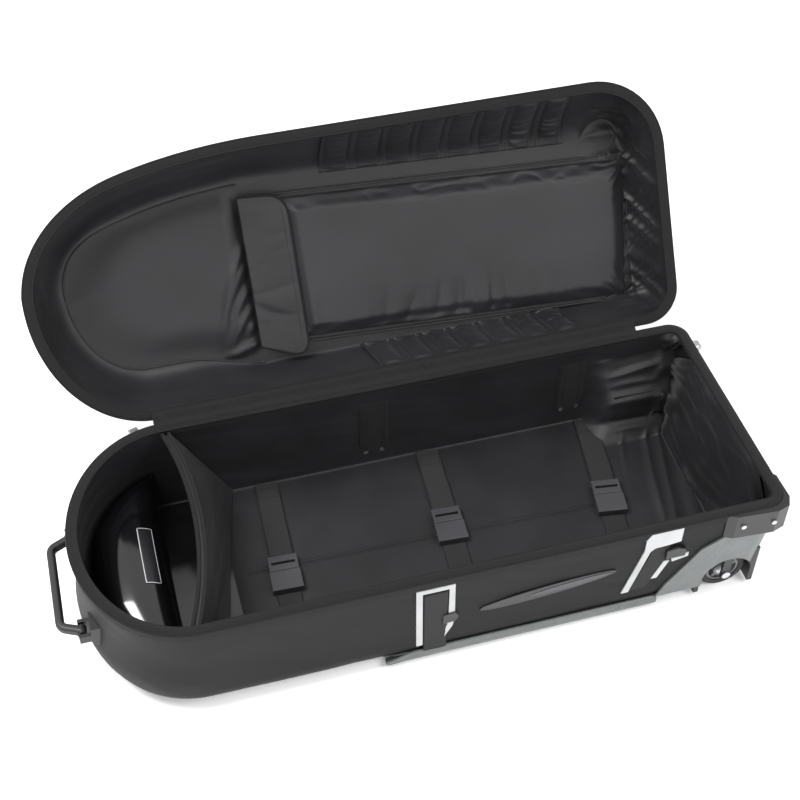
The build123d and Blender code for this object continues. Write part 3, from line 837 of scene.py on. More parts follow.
def lid_lining():
    """The sloping lining: calm along the sides, crumpled at the wheel end, pulled into
    diagonal folds over the nose, where it is sewn to the pocket's edge."""
    wall, panel = 30, 54
    rings = [lining_ring(t) for t in np.linspace(0, 1, wall)]
    last = rings[-1]
    seam_x = POCKET_X[0]
    rings += toward_middle(last, last[0, 2], panel, -0.24, 0.36)
    grid = np.array(rings)
    normal = grid_normals(grid, True)
    core = np.array([0, 0, LID_RIM_Z - 0.2])
    inward = normal * np.sign(((core - grid) * normal).sum(-1, keepdims=True))
    inward[wall + 3:] = (0, 0, -1)
    x, y = grid[..., 0], grid[..., 1]
    depth = grid[..., 2] - LID_RIM_Z
    share = np.concatenate([np.linspace(0, 1, wall), np.ones(panel)])[:, None]
    inside = np.concatenate([np.zeros(wall), np.linspace(0, 1, panel + 1)[1:]])[:, None]
    edge = smoothstep(share / 0.25)
    nose = smoothstep((seam_x - x) / (34 * MM))
    bulge = 12 * MM * smoothstep(inside / 0.45) * nose
    diagonal = np.stack([0.62 * x - 0.78 * y, 0.78 * x + 0.62 * y, x * 0], -1)
    folds = 7.0 * MM * fold_ridges(x, y, NOSE_FOLDS, 7.5 * MM)
    sweep = 4.0 * MM * noise_field(diagonal, (0.34, 0.12, 1.0), 53.0)
    folds *= 0.25 + 0.75 * smoothstep((seam_x - x) / (18 * MM))
    nose_folds = folds * smoothstep(inside / 0.1) + sweep * nose * smoothstep(inside / 0.3)
    calm = 1.4 * MM * noise_field(grid, (0.11, 0.11, 0.08), 14.0)
    calm += 1.6 * MM * creases(grid, (0.30, 0.10, 0.04), 13.0, 2.0) * nose * (1 - inside)
    end = smoothstep((x - 0.40) / 0.07)
    twist = np.stack([x, y + 0.6 * depth, depth], -1)
    crumple = 7.0 * MM * creases(twist, (0.30, 0.036, 0.20), 15.0, 2.1)
    crumple += 3.5 * MM * creases(np.stack([x, y - depth, depth], -1), (0.1, 0.024, 0.1), 16.0, 2.3)
    height = (calm * (1 - end) + crumple * end) * edge + bulge + nose_folds
    grid = grid + inward * height[..., None]
    lining = merged(grid_object("lid_lining", to_lid(grid), LINING, wrap=True, cloth=grid))
    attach(lining, "lid")
    lining_seam(last, seam_x)


def lining_seam(last, seam_x):
    """The corded seam round the nose where the wall lining meets the panel lining."""
    nose = last[last[:, 0] < seam_x]
    order = np.argsort(np.arctan2(-nose[:, 1], nose[:, 0] - seam_x) % (2 * math.pi))
    path = resample(nose[order], 6 * MM)
    path[:, 2] -= 1.0 * MM
    cord = tube("lid_nose_seam", to_lid(path), 1.6 * MM, LINING)
    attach(cord, "lid")


def slope_point(side, x, t):
    """A point on the lining's long wall: side -1 is the free wall, 1 the hinge wall."""
    y = side * (HALF_W - LINING_INSET - lining_width(x, side * HALF_W) * t)
    if side < 0:
        y = y + slack(x, np.full(np.shape(x), -HALF_W))
    return y


def lid_ribs(name, side, first, pitch, count, shallow, deep, lean):
    """Sewn padded cells between flat double-stitched tapes, up one long wall of the lid."""
    cells = 30
    xs = np.linspace(first, first + pitch * count, count * cells + 1)
    ts = np.linspace(shallow, deep, 44)
    across = np.linspace(0, 1, len(ts))
    grid = np.zeros((len(ts), len(xs), 3))
    tape = 6.5 * MM
    for r, t in enumerate(ts):
        grid[r, :, 0] = xs + lean * (across[r] - 0.5)
        grid[r, :, 1] = slope_point(side, grid[r, :, 0], t)
        grid[r, :, 2] = LID_RIM_Z + slope_depth(t)
    gap = np.abs((xs - first + pitch / 2) % pitch - pitch / 2)
    on_tape = gap < tape
    cell = np.clip((gap - tape) / (pitch / 2 - tape), 0, 1)
    crown = np.where(on_tape, 3.2 * (1 - (gap / tape) ** 4),
                     6.5 * np.sin(cell * math.pi / 2) ** 0.5)
    cell_share = np.where(on_tape, 0.0, smoothstep(cell / 0.4))
    close = np.clip(np.sin(across * math.pi), 0, 1) ** 0.25
    pucker = creases(grid, (0.10, 0.012, 0.012), 21.0 + side, 2.2)
    rough = smoothstep((grid[..., 0] - 0.22) / 0.12)
    lift = crown[None, :] * close[:, None] + 0.8
    lift = lift + (3.2 * pucker * (0.25 + 0.75 * rough) - 0.6) * cell_share[None, :] * close[:, None]
    normal = grid_normals(grid, False)
    toward = np.array([0.18, 0, LID_RIM_Z - 0.1])
    normal *= np.sign(((toward - grid) * normal).sum(-1, keepdims=True))
    surface = grid.copy()
    grid = grid + normal * (lift * MM)[..., None]
    ribs = grid_object(name, to_lid(grid), LINING, cloth=surface)
    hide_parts(name)
    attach(ribs, "lid")
    rows = []
    for k in range(count + 1):
        for shift in (-tape * 0.72, tape * 0.72):
            column = np.clip(np.searchsorted(xs, first + pitch * k + shift), 0, len(xs) - 1)
            line = to_lid(grid[3:-3, column])
            facing = to_lid(grid[20, column] + normal[20, column]) - to_lid(grid[20, column])
            rows.append(stitches(f"{name}_sew", line, facing, THREAD))
    sewn = join(f"{name}_stitches", rows)
    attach(sewn, "lid")


POCKET_Y = ((-106 * MM, 140 * MM), (-72 * MM, 172 * MM))
POCKET_X = (-168 * MM, (493 * MM, 474 * MM))


def pocket_corners(inset):
    """The pocket's four plan corners, drawn in by inset."""
    left = POCKET_X[0] + inset
    right_free, right_hinge = (x - inset for x in POCKET_X[1])
    (left_free, left_hinge), (far_free, far_hinge) = POCKET_Y
    return [(left, left_free + inset), (right_free, far_free + inset),
            (right_hinge, far_hinge - inset), (left, left_hinge - inset)]


def pocket_slab(name, depth, inset, material):
    """A closed rounded slab in the closed lid's space, ready to be puffed."""
    mesh = bmesh.new()
    corners = pocket_corners(inset)
    base = mesh.faces.new([mesh.verts.new((x, y, LID_RIM_Z + depth[0])) for x, y in corners])
    raised = bmesh.ops.extrude_face_region(mesh, geom=[base])
    top = [v for v in raised["geom"] if isinstance(v, bmesh.types.BMVert)]
    bmesh.ops.translate(mesh, verts=top, vec=(0, 0, depth[1] - depth[0]))
    bmesh.ops.recalc_face_normals(mesh, faces=mesh.faces[:])
    uprights = [e for e in mesh.edges if abs(e.verts[0].co.z - e.verts[1].co.z) > 1e-4]
    bmesh.ops.bevel(mesh, geom=uprights, offset=14 * MM, segments=4, profile=0.5,
                    affect="EDGES")
    rims = [e for e in mesh.edges if abs(e.verts[0].co.z - e.verts[1].co.z) < 1e-4]
    bmesh.ops.bevel(mesh, geom=rims, offset=5 * MM, segments=3, profile=0.5, affect="EDGES")
    data = bpy.data.meshes.new(name)
    mesh.to_mesh(data)
    mesh.free()
    data.materials.append(material)
    return link(bpy.data.objects.new(name, data))


def lid_pocket():
    """The big padded pocket: crowned, crinkled along its free edge, folded at its hinge edge."""
    front, back = 82 * MM, 99 * MM
    obj = pocket_slab("lid_pocket_pad", (front, back), 4 * MM, POCKET)
    held = LID_RIM_Z + back - 3 * MM
    puffed(obj, 3.0, (2.2 * MM, 2.2 * MM, 7 * MM), hold=lambda p: p[:, 2] > held)
    local = vertex_array(obj)
    x, y, z = local.T
    p = np.stack([x, y, z], 1)
    free = POCKET_Y[0][0] + (x - POCKET_X[0]) / 0.66 * (POCKET_Y[1][0] - POCKET_Y[0][0])
    hinge = POCKET_Y[0][1] + (x - POCKET_X[0]) / 0.66 * (POCKET_Y[1][1] - POCKET_Y[0][1])
    face = smoothstep((LID_RIM_Z + front + 6 * MM - z) / (8 * MM))
    at_hinge = smoothstep((y - hinge + 90 * MM) / (75 * MM)) * smoothstep((hinge - y) / (8 * MM))
    at_free = smoothstep((free + 42 * MM - y) / (34 * MM)) * smoothstep((y - free) / (6 * MM))
    folded = np.exp(-((x - 0.17) / 0.17) ** 2)
    dents = 6.5 * MM * creases(p, (0.040, 0.30, 1.0), 31.0, 2.2) * at_hinge * folded
    crinkle = 3.4 * MM * creases(p, (0.030, 0.016, 1.0), 32.0, 2.0) * at_free
    crinkle *= smoothstep((x + 0.02) / 0.1)
    swell = 3.4 * MM * noise_field(p, (0.26, 0.17, 1.0), 33.0)
    local[:, 2] += (dents + crinkle + swell) * face
    flap_low, flap_high = closed_box("pocket_flap")
    under_flap = smoothstep((flap_high[0] + 22 * MM - x) / (16 * MM))
    local[:, 2] += under_flap * np.clip(flap_low[2] + 8 * MM - local[:, 2], 0, None)
    set_cloth(obj, local)
    set_vertices(obj, to_lid(local))
    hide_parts("lid_pocket")
    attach(obj, "lid")
    pocket_seam(LID_RIM_Z + back - 7 * MM)
    return obj


def closed_box(node):
    """A lid node's box in the closed lid's space."""
    co = np.array([v.co for v in nodes[node].data.vertices], float)
    y = co[:, 1] - HINGE.y
    z = co[:, 2] - HINGE.z
    c, s = math.cos(OPEN), math.sin(OPEN)
    back = np.stack([co[:, 0], HINGE.y + y * c - z * s, HINGE.z + y * s + z * c], 1)
    return back.min(0), back.max(0)


def pocket_seam(z):
    """Piping round the pocket where it is sewn to the lid."""
    corners = [np.array((x, y, z)) for x, y in pocket_corners(-1 * MM)]
    loop = []
    for k, corner in enumerate(corners):
        before = corner + 16 * MM * unit(corners[k - 1] - corner)
        after = corner + 16 * MM * unit(corners[(k + 1) % 4] - corner)
        for t in np.linspace(0, 1, 9):
            loop.append((1 - t) ** 2 * before + 2 * t * (1 - t) * corner + t ** 2 * after)
    path = resample(loop, 8 * MM, closed=True)
    cord = tube("lid_pocket_piping", to_lid(path), 1.9 * MM, LINING, closed=True)
    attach(cord, "lid")


def unit(vector):
    return vector / np.linalg.norm(vector)


def pocket_flap():
    """The flap over the pocket's mouth: a soft bound strip, sewn askew, sagging at its free edge."""
    low, high = closed_box("pocket_flap")
    count_x, count_y = 34, 110
    u = np.linspace(0, 1, count_x)
    v = np.linspace(0, 1, count_y)
    radius = 28 * MM
    width = high[0] - low[0] + 6 * MM
    start, stop = POCKET_Y[0][0] - 2 * MM, POCKET_Y[0][1] - 2 * MM
    span = stop - start
    grid = np.zeros((count_y, count_x, 3))
    for r, t in enumerate(v):
        from_end = min(t, 1 - t) * span
        reach = width
        if from_end < radius:
            reach = width - radius + math.sqrt(radius ** 2 - (radius - from_end) ** 2)
        grid[r, :, 0] = low[0] + reach * u
        grid[r, :, 1] = start + span * t + (6 + 26 * t) * MM * u * reach / width
    face = low[2] + 4.5 * MM
    p = grid.copy()
    ends = np.sin(v * math.pi)[:, None] ** 0.5
    crown = np.sin(np.clip(u, 0, 1) * math.pi)[None, :] ** 0.7 * 4.0 * MM * ends
    folds = 4.5 * MM * creases(p, (0.25, 0.045, 1.0), 41.0, 2.2) * (1 - u[None, :]) ** 0.5
    bow = 3.4 * MM * noise_field(p, (0.09, 0.07, 1.0), 42.0)
    crease = np.exp(-((v[:, None] - 0.72 - 0.1 * u[None, :]) / 0.05) ** 2) * 3.5 * MM
    grid[..., 2] = face - crown + folds * 0.7 - bow + crease
    grid[..., 2] = np.minimum(grid[..., 2], high[2] - 2.5 * MM)
    flap = grid_object("pocket_flap_cloth", to_lid(grid), LINING, cloth=grid)
    thicken(flap, 2.4 * MM, 0.0)
    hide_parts("pocket_flap")
    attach(flap, "pocket_flap")
    border = np.vstack([grid[0, :, :], grid[1:-1, -1, :], grid[-1, ::-1, :]])
    path = resample(border, 5 * MM)
    bind = tube("pocket_flap_binding", to_lid(path), 2.3 * MM, TAPE)
    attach(bind, "pocket_flap")
    inner = grid[8:-8, -5, :].copy()
    inner[:, 2] -= 1.4 * MM
    row = stitches("pocket_flap_stitches", to_lid(inner), lid_vector(0, 0, -1.0), THREAD)
    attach(row, "pocket_flap")


# ---------------------------------------------------------------- hinge
def hinge_gusset():
    """The sewn strip that carries the lid: it bends between the tub's rim and the lid's rim."""
    left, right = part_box("hinge_tape")[0].x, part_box("hinge_tape")[1].x
    xs = np.linspace(left - 24 * MM, right + 4 * MM, 160)
    tub_side = np.array([(HALF_W - WALL - 2 * MM, RIM_Z - 16 * MM),
                         (HALF_W - WALL - 1.5 * MM, RIM_Z - 6 * MM),
                         (HALF_W - WALL + 1 * MM, RIM_Z + 1.5 * MM)])
    lid_closed = np.array([(HALF_W - WALL + 1 * MM, LID_RIM_Z - 1.5 * MM),
                           (HALF_W - WALL - 1.5 * MM, LID_RIM_Z + 8 * MM),
                           (HALF_W - WALL - 2.4 * MM, LID_RIM_Z + 22 * MM)])
    lid_side = to_lid(np.column_stack([np.zeros(3), lid_closed]))[:, 1:]
    lowest = (tub_side[-1] + lid_side[0]) / 2 + [0.5 * MM, -3 * MM]
    section = np.vstack([tub_side, [lowest], lid_side])
    fine = np.array([catmull(section, t) for t in np.linspace(0, len(section) - 1, 30)])
    grid = np.zeros((len(fine), len(xs), 3))
    grid[..., 0] = xs
    grid[..., 1] = fine[:, :1]
    grid[..., 2] = fine[:, 1:]
    ripple = 1.0 * MM * noise_field(grid, (0.08, 0.05, 0.05), 61.0)
    grid[..., 2] += ripple * np.sin(np.linspace(0, math.pi, len(fine)))[:, None]
    strip = grid_object("hinge_gusset", grid, TAPE, cloth=grid)
    thicken(strip, 1.2 * MM, 0.0)
    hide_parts("hinge_tape")
    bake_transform(strip)
    return strip


def catmull(points, t):
    """A point on the smooth curve through the given points."""
    k = int(min(max(math.floor(t), 0), len(points) - 2))
    f = t - k
    p0, p1 = points[max(k - 1, 0)], points[k]
    p2, p3 = points[k + 1], points[min(k + 2, len(points) - 1)]
    return 0.5 * (2 * p1 + (p2 - p0) * f + (2 * p0 - 5 * p1 + 4 * p2 - p3) * f ** 2
                  + (3 * p1 - p0 - 3 * p2 + p3) * f ** 3)


# ---------------------------------------------------------------- inside the tub
def divider():
    """The bowed padded wall between the nose well and the main compartment."""
    foot = (FLOOR_Z + 2 * MM, -0.262, -0.300, -0.340)
    top = (0.184, -0.345, -0.325, -0.360)
    thick = 16 * MM
    rows, count = 44, 110
    ys = np.linspace(0.188, -0.188, count)
    front = np.zeros((rows, count, 3))
    for r, t in enumerate(np.linspace(0, 1, rows)):
        far, middle, near = (foot[k] + (top[k] - foot[k]) * t for k in (1, 2, 3))
        front[r, :, 0] = np.polyval(np.polyfit([0.182, 0, -0.182], [far, middle, near], 2), ys)
        front[r, :, 1] = ys
        front[r, :, 2] = foot[0] + (top[0] - foot[0]) * t
    back = front.copy()
    back[..., 0] -= thick
    crown = np.sin(np.linspace(0, math.pi, rows)) ** 0.6
    sides = np.sin(np.linspace(0, math.pi, count)) ** 0.35
    pad = crown[:, None] * sides[None, :]
    soft = noise_field(front, (0.2, 0.09, 0.07), 71.0)
    pull = creases(front + [0, 0, 0.5] * front[..., 1:2], (0.3, 0.3, 0.04), 72.0, 2.2)
    front[..., 0] += (3.0 * pad + 2.4 * soft * pad - 2.4 * pull * pad) * MM
    back[..., 0] -= 1.5 * MM * pad
    loop = np.concatenate([front, back[::-1]])
    faces = grid_faces(2 * rows, count)
    last = (2 * rows - 1) * count
    faces += [(last + c, last + c + 1, c + 1, c) for c in range(count - 1)]
    for c, flip in ((0, False), (count - 1, True)):
        column = [r * count + c for r in range(2 * rows)]
        faces.append(tuple(column[::-1] if flip else column))
    verts = loop.reshape(-1, 3)
    wall = mesh_object("divider_pad", verts, faces, LINING, cloth=verts)
    bevel_ends(wall)
    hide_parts("divider_wall")
    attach(wall, "tub")
    edge = front[-1] + [-thick / 2 + 0.5 * MM, 0, 1.0 * MM]
    for k, shift in enumerate((-5 * MM, 5 * MM)):
        cord = tube(f"divider_binding_{k + 1}", edge + [shift, 0, 0], 3.0 * MM, TAPE)
        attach(cord, "tub")


def bevel_ends(obj):
    bevel = obj.modifiers.new("bevel", "BEVEL")
    bevel.width = 4 * MM
    bevel.segments = 3
    bevel.limit_method = "ANGLE"
    bevel.angle_limit = math.radians(50)
    return modifiers_applied(obj)


def bolster():
    """The glossy rounded nose pad: a taut dome, highest across its middle, falling to the sides."""
    low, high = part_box("nose_bolster")
    rows, cols = 80, 120
    limit_x = NOSE_X - NOSE_DEPTH + WALL + 5 * MM
    grid = np.zeros((rows, cols, 3))
    for c, t in enumerate(np.linspace(-1, 1, cols)):
        half = (HALF_W - WALL - 6 * MM) * t
        fall = math.cos(0.92 * t) ** 0.75
        right = high.x + 3 * MM - 5 * MM * (1 - t * t)
        curve = math.sqrt(max(1 - (half / (HALF_W - WALL - 4 * MM)) ** 2, 0))
        left = max(low.x, NOSE_X - (NOSE_X - limit_x) * curve)
        left = min(left, right - 6 * MM)
        for r, a in enumerate(np.linspace(0, 1, rows)):
            angle = math.pi * a
            x = left + (right - left) * (1 - math.cos(angle)) / 2
            blunt = 0.44 - 0.06 * a
            rise = (high.z - FLOOR_Z) * fall * max(math.sin(angle), 0) ** blunt
            grid[r, c] = (x, half, FLOOR_Z + 1 * MM + rise)
    pad = grid_object("nose_pad", grid, VINYL)
    subdivide(pad)
    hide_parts("nose_bolster")
    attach(pad, "tub")
    return grid


def nameplate(grid):
    """A blank plate in a raised silver outline on the pad's wheel-end shoulder."""
    rows, cols = grid.shape[:2]
    normal = grid_normals(grid, False)
    normal *= np.sign(normal[rows // 2, cols // 2, 2])
    r_range = np.linspace(0.60, 0.73, 9) * (rows - 1)
    c_range = np.linspace(0.37, 0.65, 40) * (cols - 1)

    def on_pad(r, c, lift):
        r0, c0 = int(r), int(c)
        fr, fc = r - r0, c - c0
        p = (grid[r0, c0] * (1 - fr) * (1 - fc) + grid[r0 + 1, c0] * fr * (1 - fc)
             + grid[r0, c0 + 1] * (1 - fr) * fc + grid[r0 + 1, c0 + 1] * fr * fc)
        return p + normal[r0, c0] * lift

    face = np.array([[on_pad(r, c, 1.2 * MM) for c in c_range] for r in r_range])
    plate = grid_object("nose_plate", face, BADGE)
    thicken(plate, 1.2 * MM, 0.0)
    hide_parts("bolster_nameplate")
    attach(plate, "tub")
    border = np.vstack([face[0], face[1:, -1], face[-1, ::-1][1:], face[::-1, 0][1:-1]])
    frame_line = tube("nose_plate_outline", resample(border, 3 * MM, closed=True), 0.8 * MM,
                      SILVER, closed=True)
    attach(frame_line, "tub")


def painted_shade_well():
    """A dark glossy sheet on the floor between the nose pad and the divider: painted shade that darkens
    the nose well floor.
    """
    left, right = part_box("nose_bolster")[1].x - 6 * MM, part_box("divider_wall")[1].x - 30 * MM
    half = HALF_W - WALL - 14 * MM
    xs, ys = np.linspace(left, right, 24), np.linspace(-half, half, 70)
    grid = np.zeros((len(ys), len(xs), 3))
    grid[..., 0] = xs
    grid[..., 1] = ys[:, None]
    grid[..., 2] = FLOOR_Z + (3.2 + 1.2 * noise_field(grid, (0.06, 0.06, 1.0), 81.0)) * MM
    # painted shade: a near-black glossy sheet over the well floor, standing in for the well's shadow
    shade_sheet = grid_object("nose_well_painted_shade", grid, VINYL)
    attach(shade_sheet, "tub")


def strap_frame(k):
    """Origin and direction of floor strap k: the prong's slide axis, through its buckle."""
    axis = Vector(joints[f"buckle_release_{k}"]["axis"])
    low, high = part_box(f"buckle_socket_{k}")
    middle = (low + high) / 2
    return np.array(middle), np.array(axis), np.array([axis.y, -axis.x, 0.0])


def floor_strap(k):
    """Webbing across the floor: it rises into the buckle, folds back on itself, and is sewn."""
    middle, ahead, aside = strap_frame(k)
    low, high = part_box(f"floor_strap_{k}")
    z = (low.z + high.z) / 2
    wide = 39 * MM
    far_end = (high.y - middle[1]) / ahead[1]
    near_end = (low.y - middle[1]) / ahead[1]

    def at(distance, height):
        p = middle + ahead * distance
        return (p[0], p[1], height)

    floor = FLOOR_Z + 1.9 * MM
    far = [at(26 * MM, z), at(48 * MM, z + 0.4 * MM), at(62 * MM, z), at(90 * MM, floor + 1.5 * MM),
           at(far_end - 40 * MM, floor + 2.5 * MM), at(far_end - 8 * MM, floor + 1 * MM),
           at(far_end, floor)]
    near = [at(-22 * MM, z), at(-34 * MM, z), at(-60 * MM, floor + 0.6 * MM),
            at(near_end + 10 * MM, floor + 0.6 * MM), at(near_end, floor)]
    tail = [at(50 * MM, z + 1.9 * MM), at(70 * MM, floor + 4.4 * MM), at(96 * MM, floor + 4.4 * MM),
            at(112 * MM, floor + 3.4 * MM)]
    pieces = {}
    for name, path in (("far", far), ("near", near), ("tail", tail)):
        smooth = np.array([catmull(np.array(path), t)
                           for t in np.linspace(0, len(path) - 1, 12 * len(path))])
        pieces[name] = ribbon(f"floor_webbing_{k}_{name}", smooth, aside, wide, 1.5 * MM, BELT)
    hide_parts(f"floor_strap_{k}")
    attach(pieces["near"], "tub")
    pulled = join(f"floor_webbing_{k}_prong", [pieces["far"], pieces["tail"]])
    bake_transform(pulled)
    rows = []
    for start in (far_end - 34 * MM, far_end - 12 * MM):
        line = [np.array(at(start, floor + 3.6 * MM)) + aside * w for w in (-16 * MM, 16 * MM)]
        rows.append(stitches(f"sew_{k}", line, (0, 0, 1), THREAD))
    for w in (-16 * MM, 16 * MM):
        line = [np.array(at(d, floor + 3.6 * MM)) + aside * w
                for d in (far_end - 34 * MM, far_end - 12 * MM)]
        rows.append(stitches(f"sew_{k}", line, (0, 0, 1), THREAD))
    sewn = join(f"floor_webbing_stitches_{k}", rows)
    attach(sewn, "tub")


def back_stay(name):
    """A webbing stay sewn down the rear wall with two rows of stitches along each edge; the frame's
    rivets sit at its foot.
    """
    low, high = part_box(name)
    x = (low.x + high.x) / 2
    y = low.y + 0.6 * MM
    foot = max(low.z, FLOOR_Z + 8 * MM)
    path = resample([(x, y, foot), (x, y, high.z)], 6 * MM)
    path[:, 1] -= 1.2 * MM * np.sin(np.linspace(0, math.pi, len(path)))
    wide = high.x - low.x
    strap = ribbon(f"{name}_webbing", path, (1, 0, 0), wide, 2.2 * MM, TAPE)
    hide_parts(name)
    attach(strap, "tub")
    rows = []
    for gap in (-0.5 * wide + 4 * MM, 0.5 * wide - 4 * MM, -0.5 * wide + 11 * MM,
                0.5 * wide - 11 * MM):
        line = path + [gap, -1.4 * MM, 0]
        rows.append(stitches(f"{name}_sew", line, (0, -1, 0), THREAD))
    sewn = join(f"{name}_stitches", rows)
    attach(sewn, "tub")


# ---------------------------------------------------------------- front face
def moulded(name, outline_mm, proud, material, bevel=0.8, low=-0.4):
    """A bevelled plate on the front face, from its outline in X and Z."""
    mesh = bmesh.new()
    y_low = -HALF_W - low * MM
    verts = [mesh.verts.new((x * MM, y_low, z * MM)) for x, z in outline_mm]
    face = mesh.faces.new(verts)
    raised = bmesh.ops.extrude_face_region(mesh, geom=[face])
    moved = [v for v in raised["geom"] if isinstance(v, bmesh.types.BMVert)]
    bmesh.ops.translate(mesh, verts=moved, vec=(0, -(proud - low) * MM, 0))
    bmesh.ops.recalc_face_normals(mesh, faces=mesh.faces[:])
    data = bpy.data.meshes.new(name)
    mesh.to_mesh(data)
    mesh.free()
    data.materials.append(material)
    obj = link(bpy.data.objects.new(name, data))
    edge = obj.modifiers.new("bevel", "BEVEL")
    edge.width = bevel * MM
    edge.segments = 3
    edge.limit_method = "ANGLE"
    modifiers_applied(obj)
    set_cloth(obj, vertex_array(obj))
    return obj


def front_trim():
    arch = moulded("nose_side_trim", [(-54, 40), (-55, 176), (4, 176), (5, 92), (2, 74), (-10, 50),
                                      (-18, 54), (-7, 78), (-5, 92), (-5, 167), (-45, 167),
                                      (-44, 40)], 2.2, SILVER)
    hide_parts("strap_trim_nose")
    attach(arch, "tub")
    path = resample([(-25 * MM, -HALF_W - 1.2 * MM, 22 * MM), (-25 * MM, -HALF_W - 2.2 * MM, 165 * MM)],
                    5 * MM)
    belt = ribbon("nose_side_webbing", path, (1, 0, 0), 36 * MM, 1.8 * MM, BELT)
    keeper = moulded("nose_side_keeper", [(-14, 86), (-14, 108), (5, 110), (11, 98), (5, 88)], 5,
                     BLACK, bevel=1.4, low=1.8)
    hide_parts("strap_webbing_nose")
    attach(belt, "tub")
    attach(keeper, "tub")
    block = moulded("wheel_side_trim", [(299, 150), (299, 176), (306, 187), (357, 187), (357, 156),
                                        (334, 153), (316, 152), (309, 146), (284, 54), (272, 54)],
                    2.2, SILVER)
    leg = moulded("wheel_side_leg", [(334, 114), (344, 114), (328, 76), (318, 76)], 2.4, SILVER)
    arm = moulded("wheel_side_arm", [(346, 118), (374, 124), (374, 115), (348, 109)], 2.4, SILVER)
    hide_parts("strap_trim_wheel")
    for piece in (block, leg, arm):
        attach(piece, "tub")
    belt = moulded("wheel_side_webbing", [(313, 150), (340, 150), (333, 112), (312, 56), (286, 56)],
                   1.6, BELT, bevel=0.5)
    clip = moulded("wheel_side_clip", [(334, 124), (334, 144), (352, 147), (366, 140), (366, 124)],
                   7, BLACK, bevel=1.6)
    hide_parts("strap_webbing_wheel")
    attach(belt, "tub")
    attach(clip, "tub")


def sled_edge():
    """The hard base's side edge, a rounded moulding along the foot of the front and rear faces."""
    for name, side in (("front", -1), ("rear", 1)):
        rows = []
        for x in np.linspace(-0.100, 0.336, 90):
            rise = smoothstep((x + 0.100) / 0.05)
            section = [(-13, 0), (-2, 0), (1.2, 1.5), (2.6, 4), (2.8, 8), (2.4, 15), (0.6, 17.5),
                       (-3, 17.5)]
            rows.append([(x, side * (HALF_W + out * MM), (7 + up * (0.3 + 0.7 * rise)) * MM)
                         for out, up in section])
        grid = np.array(rows)
        strip = grid_object(f"sled_edge_{name}", grid, SLED)
        thicken(strip, 1.5 * MM, 0.0)
        subdivide(strip)
        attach(strip, "tub")


def badge():
    """A blank raised badge: a slim leaf with a second, smaller leaf standing on it."""
    def leaf(left, right, low_z, high_z, lean):
        points = []
        for k in range(36):
            a = 2 * math.pi * k / 36
            x = (left + right) / 2 + (right - left) / 2 * math.cos(a)
            t = (x - left) / (right - left)
            z = low_z + (high_z - low_z) * t
            points.append((x, z + lean * math.sin(a)))
        return points[::-1]

    base = moulded("badge_leaf", leaf(43, 258, 98, 118, 12), 2.6, BADGE, bevel=1.0)
    crest = moulded("badge_crest", leaf(120, 250, 105.5, 117.4, 6), 3.4, BUCKLE, bevel=0.7, low=2.0)
    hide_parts("front_badge")
    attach(base, "tub")
    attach(crest, "tub")


# ---------------------------------------------------------------- scene
def studio():
    floor = bpy.data.meshes.new("floor")
    size = 9.0
    corners = [(-size, -size, 0), (-size, size, 0), (size, -size, 0), (size, size, 0)]
    floor.from_pydata(corners, [], [(0, 2, 3, 1)])
    obj = link(bpy.data.objects.new("floor", floor))
    n = Nodes("pale_floor")
    n.shader.inputs["Base Color"].default_value = (0.93, 0.93, 0.94, 1)
    n.shader.inputs["Roughness"].default_value = 0.8
    floor.materials.append(n.material)

    world = bpy.data.worlds.new("studio")
    world.use_nodes = True
    world.node_tree.nodes["Background"].inputs["Color"].default_value = (1, 1, 1, 1)
    world.node_tree.nodes["Background"].inputs["Strength"].default_value = 0.95
    bpy.context.scene.world = world
    bpy.context.scene.view_settings.view_transform = "Standard"

    def lamp(name, place, target, size, power):
        light = bpy.data.lights.new(name, "AREA")
        light.size = size
        light.energy = power
        holder = link(bpy.data.objects.new(name, light))
        holder.location = place
        aim = Vector(target) - Vector(place)
        holder.rotation_euler = aim.to_track_quat("-Z", "Y").to_euler()

    lamp("key", (-1.5, 0.2, 2.7), (-0.1, 0.1, 0.2), 1.3, 110)
    lamp("fill", (1.8, -1.6, 2.2), (0.1, 0, 0.1), 1.6, 55)
    lamp("front", (-0.5, -2.6, 0.9), (0, -0.2, 0.1), 1.4, 30)


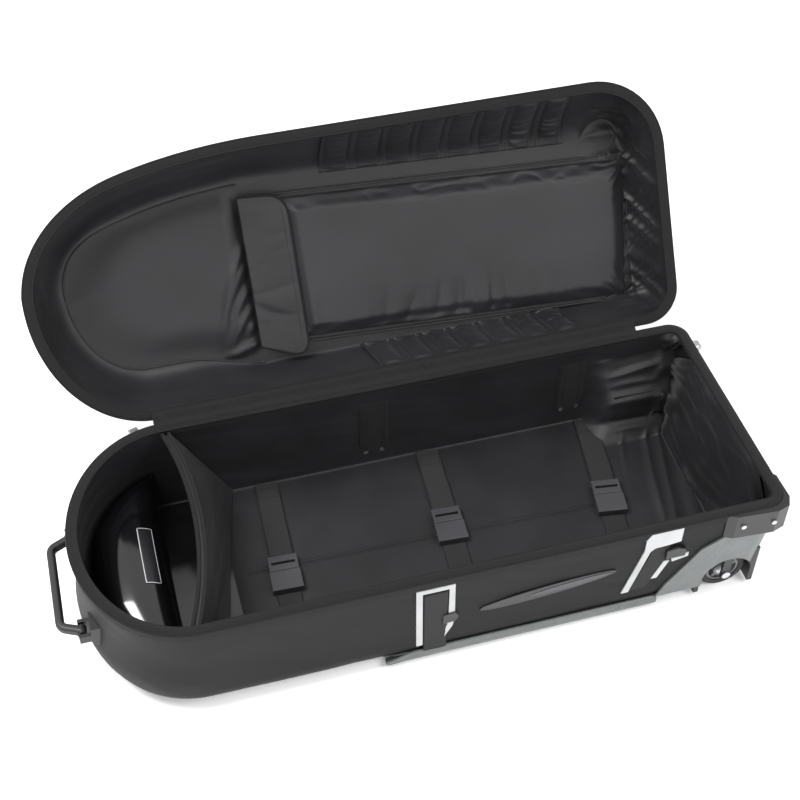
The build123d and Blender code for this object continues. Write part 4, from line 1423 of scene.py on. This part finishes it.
def camera():
    """The viewpoint: above the nose's front corner, looking down along the bag."""
    lens = bpy.data.cameras.new("camera")
    lens.sensor_width = 36
    lens.lens = 62.6
    holder = link(bpy.data.objects.new("camera", lens))
    holder.location = (-0.3892, -1.3317, 1.8025)
    yaw, pitch = math.radians(15.38), math.radians(46.25)
    aim = Vector((math.sin(yaw) * math.cos(pitch), math.cos(yaw) * math.cos(pitch),
                  -math.sin(pitch)))
    holder.rotation_euler = aim.to_track_quat("-Z", "Y").to_euler()
    bpy.context.scene.camera = holder


def cad_materials():
    paint(SLED, "sled_pan", "sled_side_front", "sled_side_rear")
    paint(BLACK, "skid_runners", "corner_guard_front", "corner_guard_rear", "wheel_housing_front",
          "wheel_housing_rear", "nose_handle_anchors")
    paint(GRIP, "nose_handle_grip")
    paint(STEEL, "wheel_axle_front", "wheel_axle_rear", "rivets", "wheel_front_bearings",
          "wheel_rear_bearings")
    for end in ("front", "rear"):
        paint(TYRE, f"wheel_{end}_tyre")
        paint(HUB, f"wheel_{end}_hub")
    for end in ("nose", "wheel_end"):
        paint(ZIP, f"zip_slider_{end}", f"zip_pull_{end}")
    for k in (1, 2, 3):
        paint(BUCKLE, f"buckle_socket_{k}", f"buckle_prong_{k}")


tub_shell()
tub_lining()
rim_binding("tub_rim_tape", lambda inset, drop: tub_ring(inset, RIM_Z - drop), "tub_rim_band",
            "tub", lambda p: p)
floor_seam()
lid_shell()
lid_lining()
rim_binding("lid_rim_tape", lambda inset, rise: lid_ring(inset, rise), "lid_rim_band", "lid",
            to_lid)
lid_ribs("lid_ribs_front", -1, -0.030, 52 * MM, 8, 0.06, 0.97, 0)
lid_ribs("lid_ribs_rear", 1, 0.0, 50 * MM, 7, 0.08, 0.97, -14 * MM)
lid_pocket()
pocket_flap()
hinge_gusset()
divider()
nameplate(bolster())
# painted shade on the nose well floor
painted_shade_well()
for k in (1, 2, 3):
    floor_strap(k)
for stay in ("back_stay_nose", "back_stay_wheel"):
    back_stay(stay)
front_trim()
badge()
sled_edge()
cad_materials()
studio()
camera()
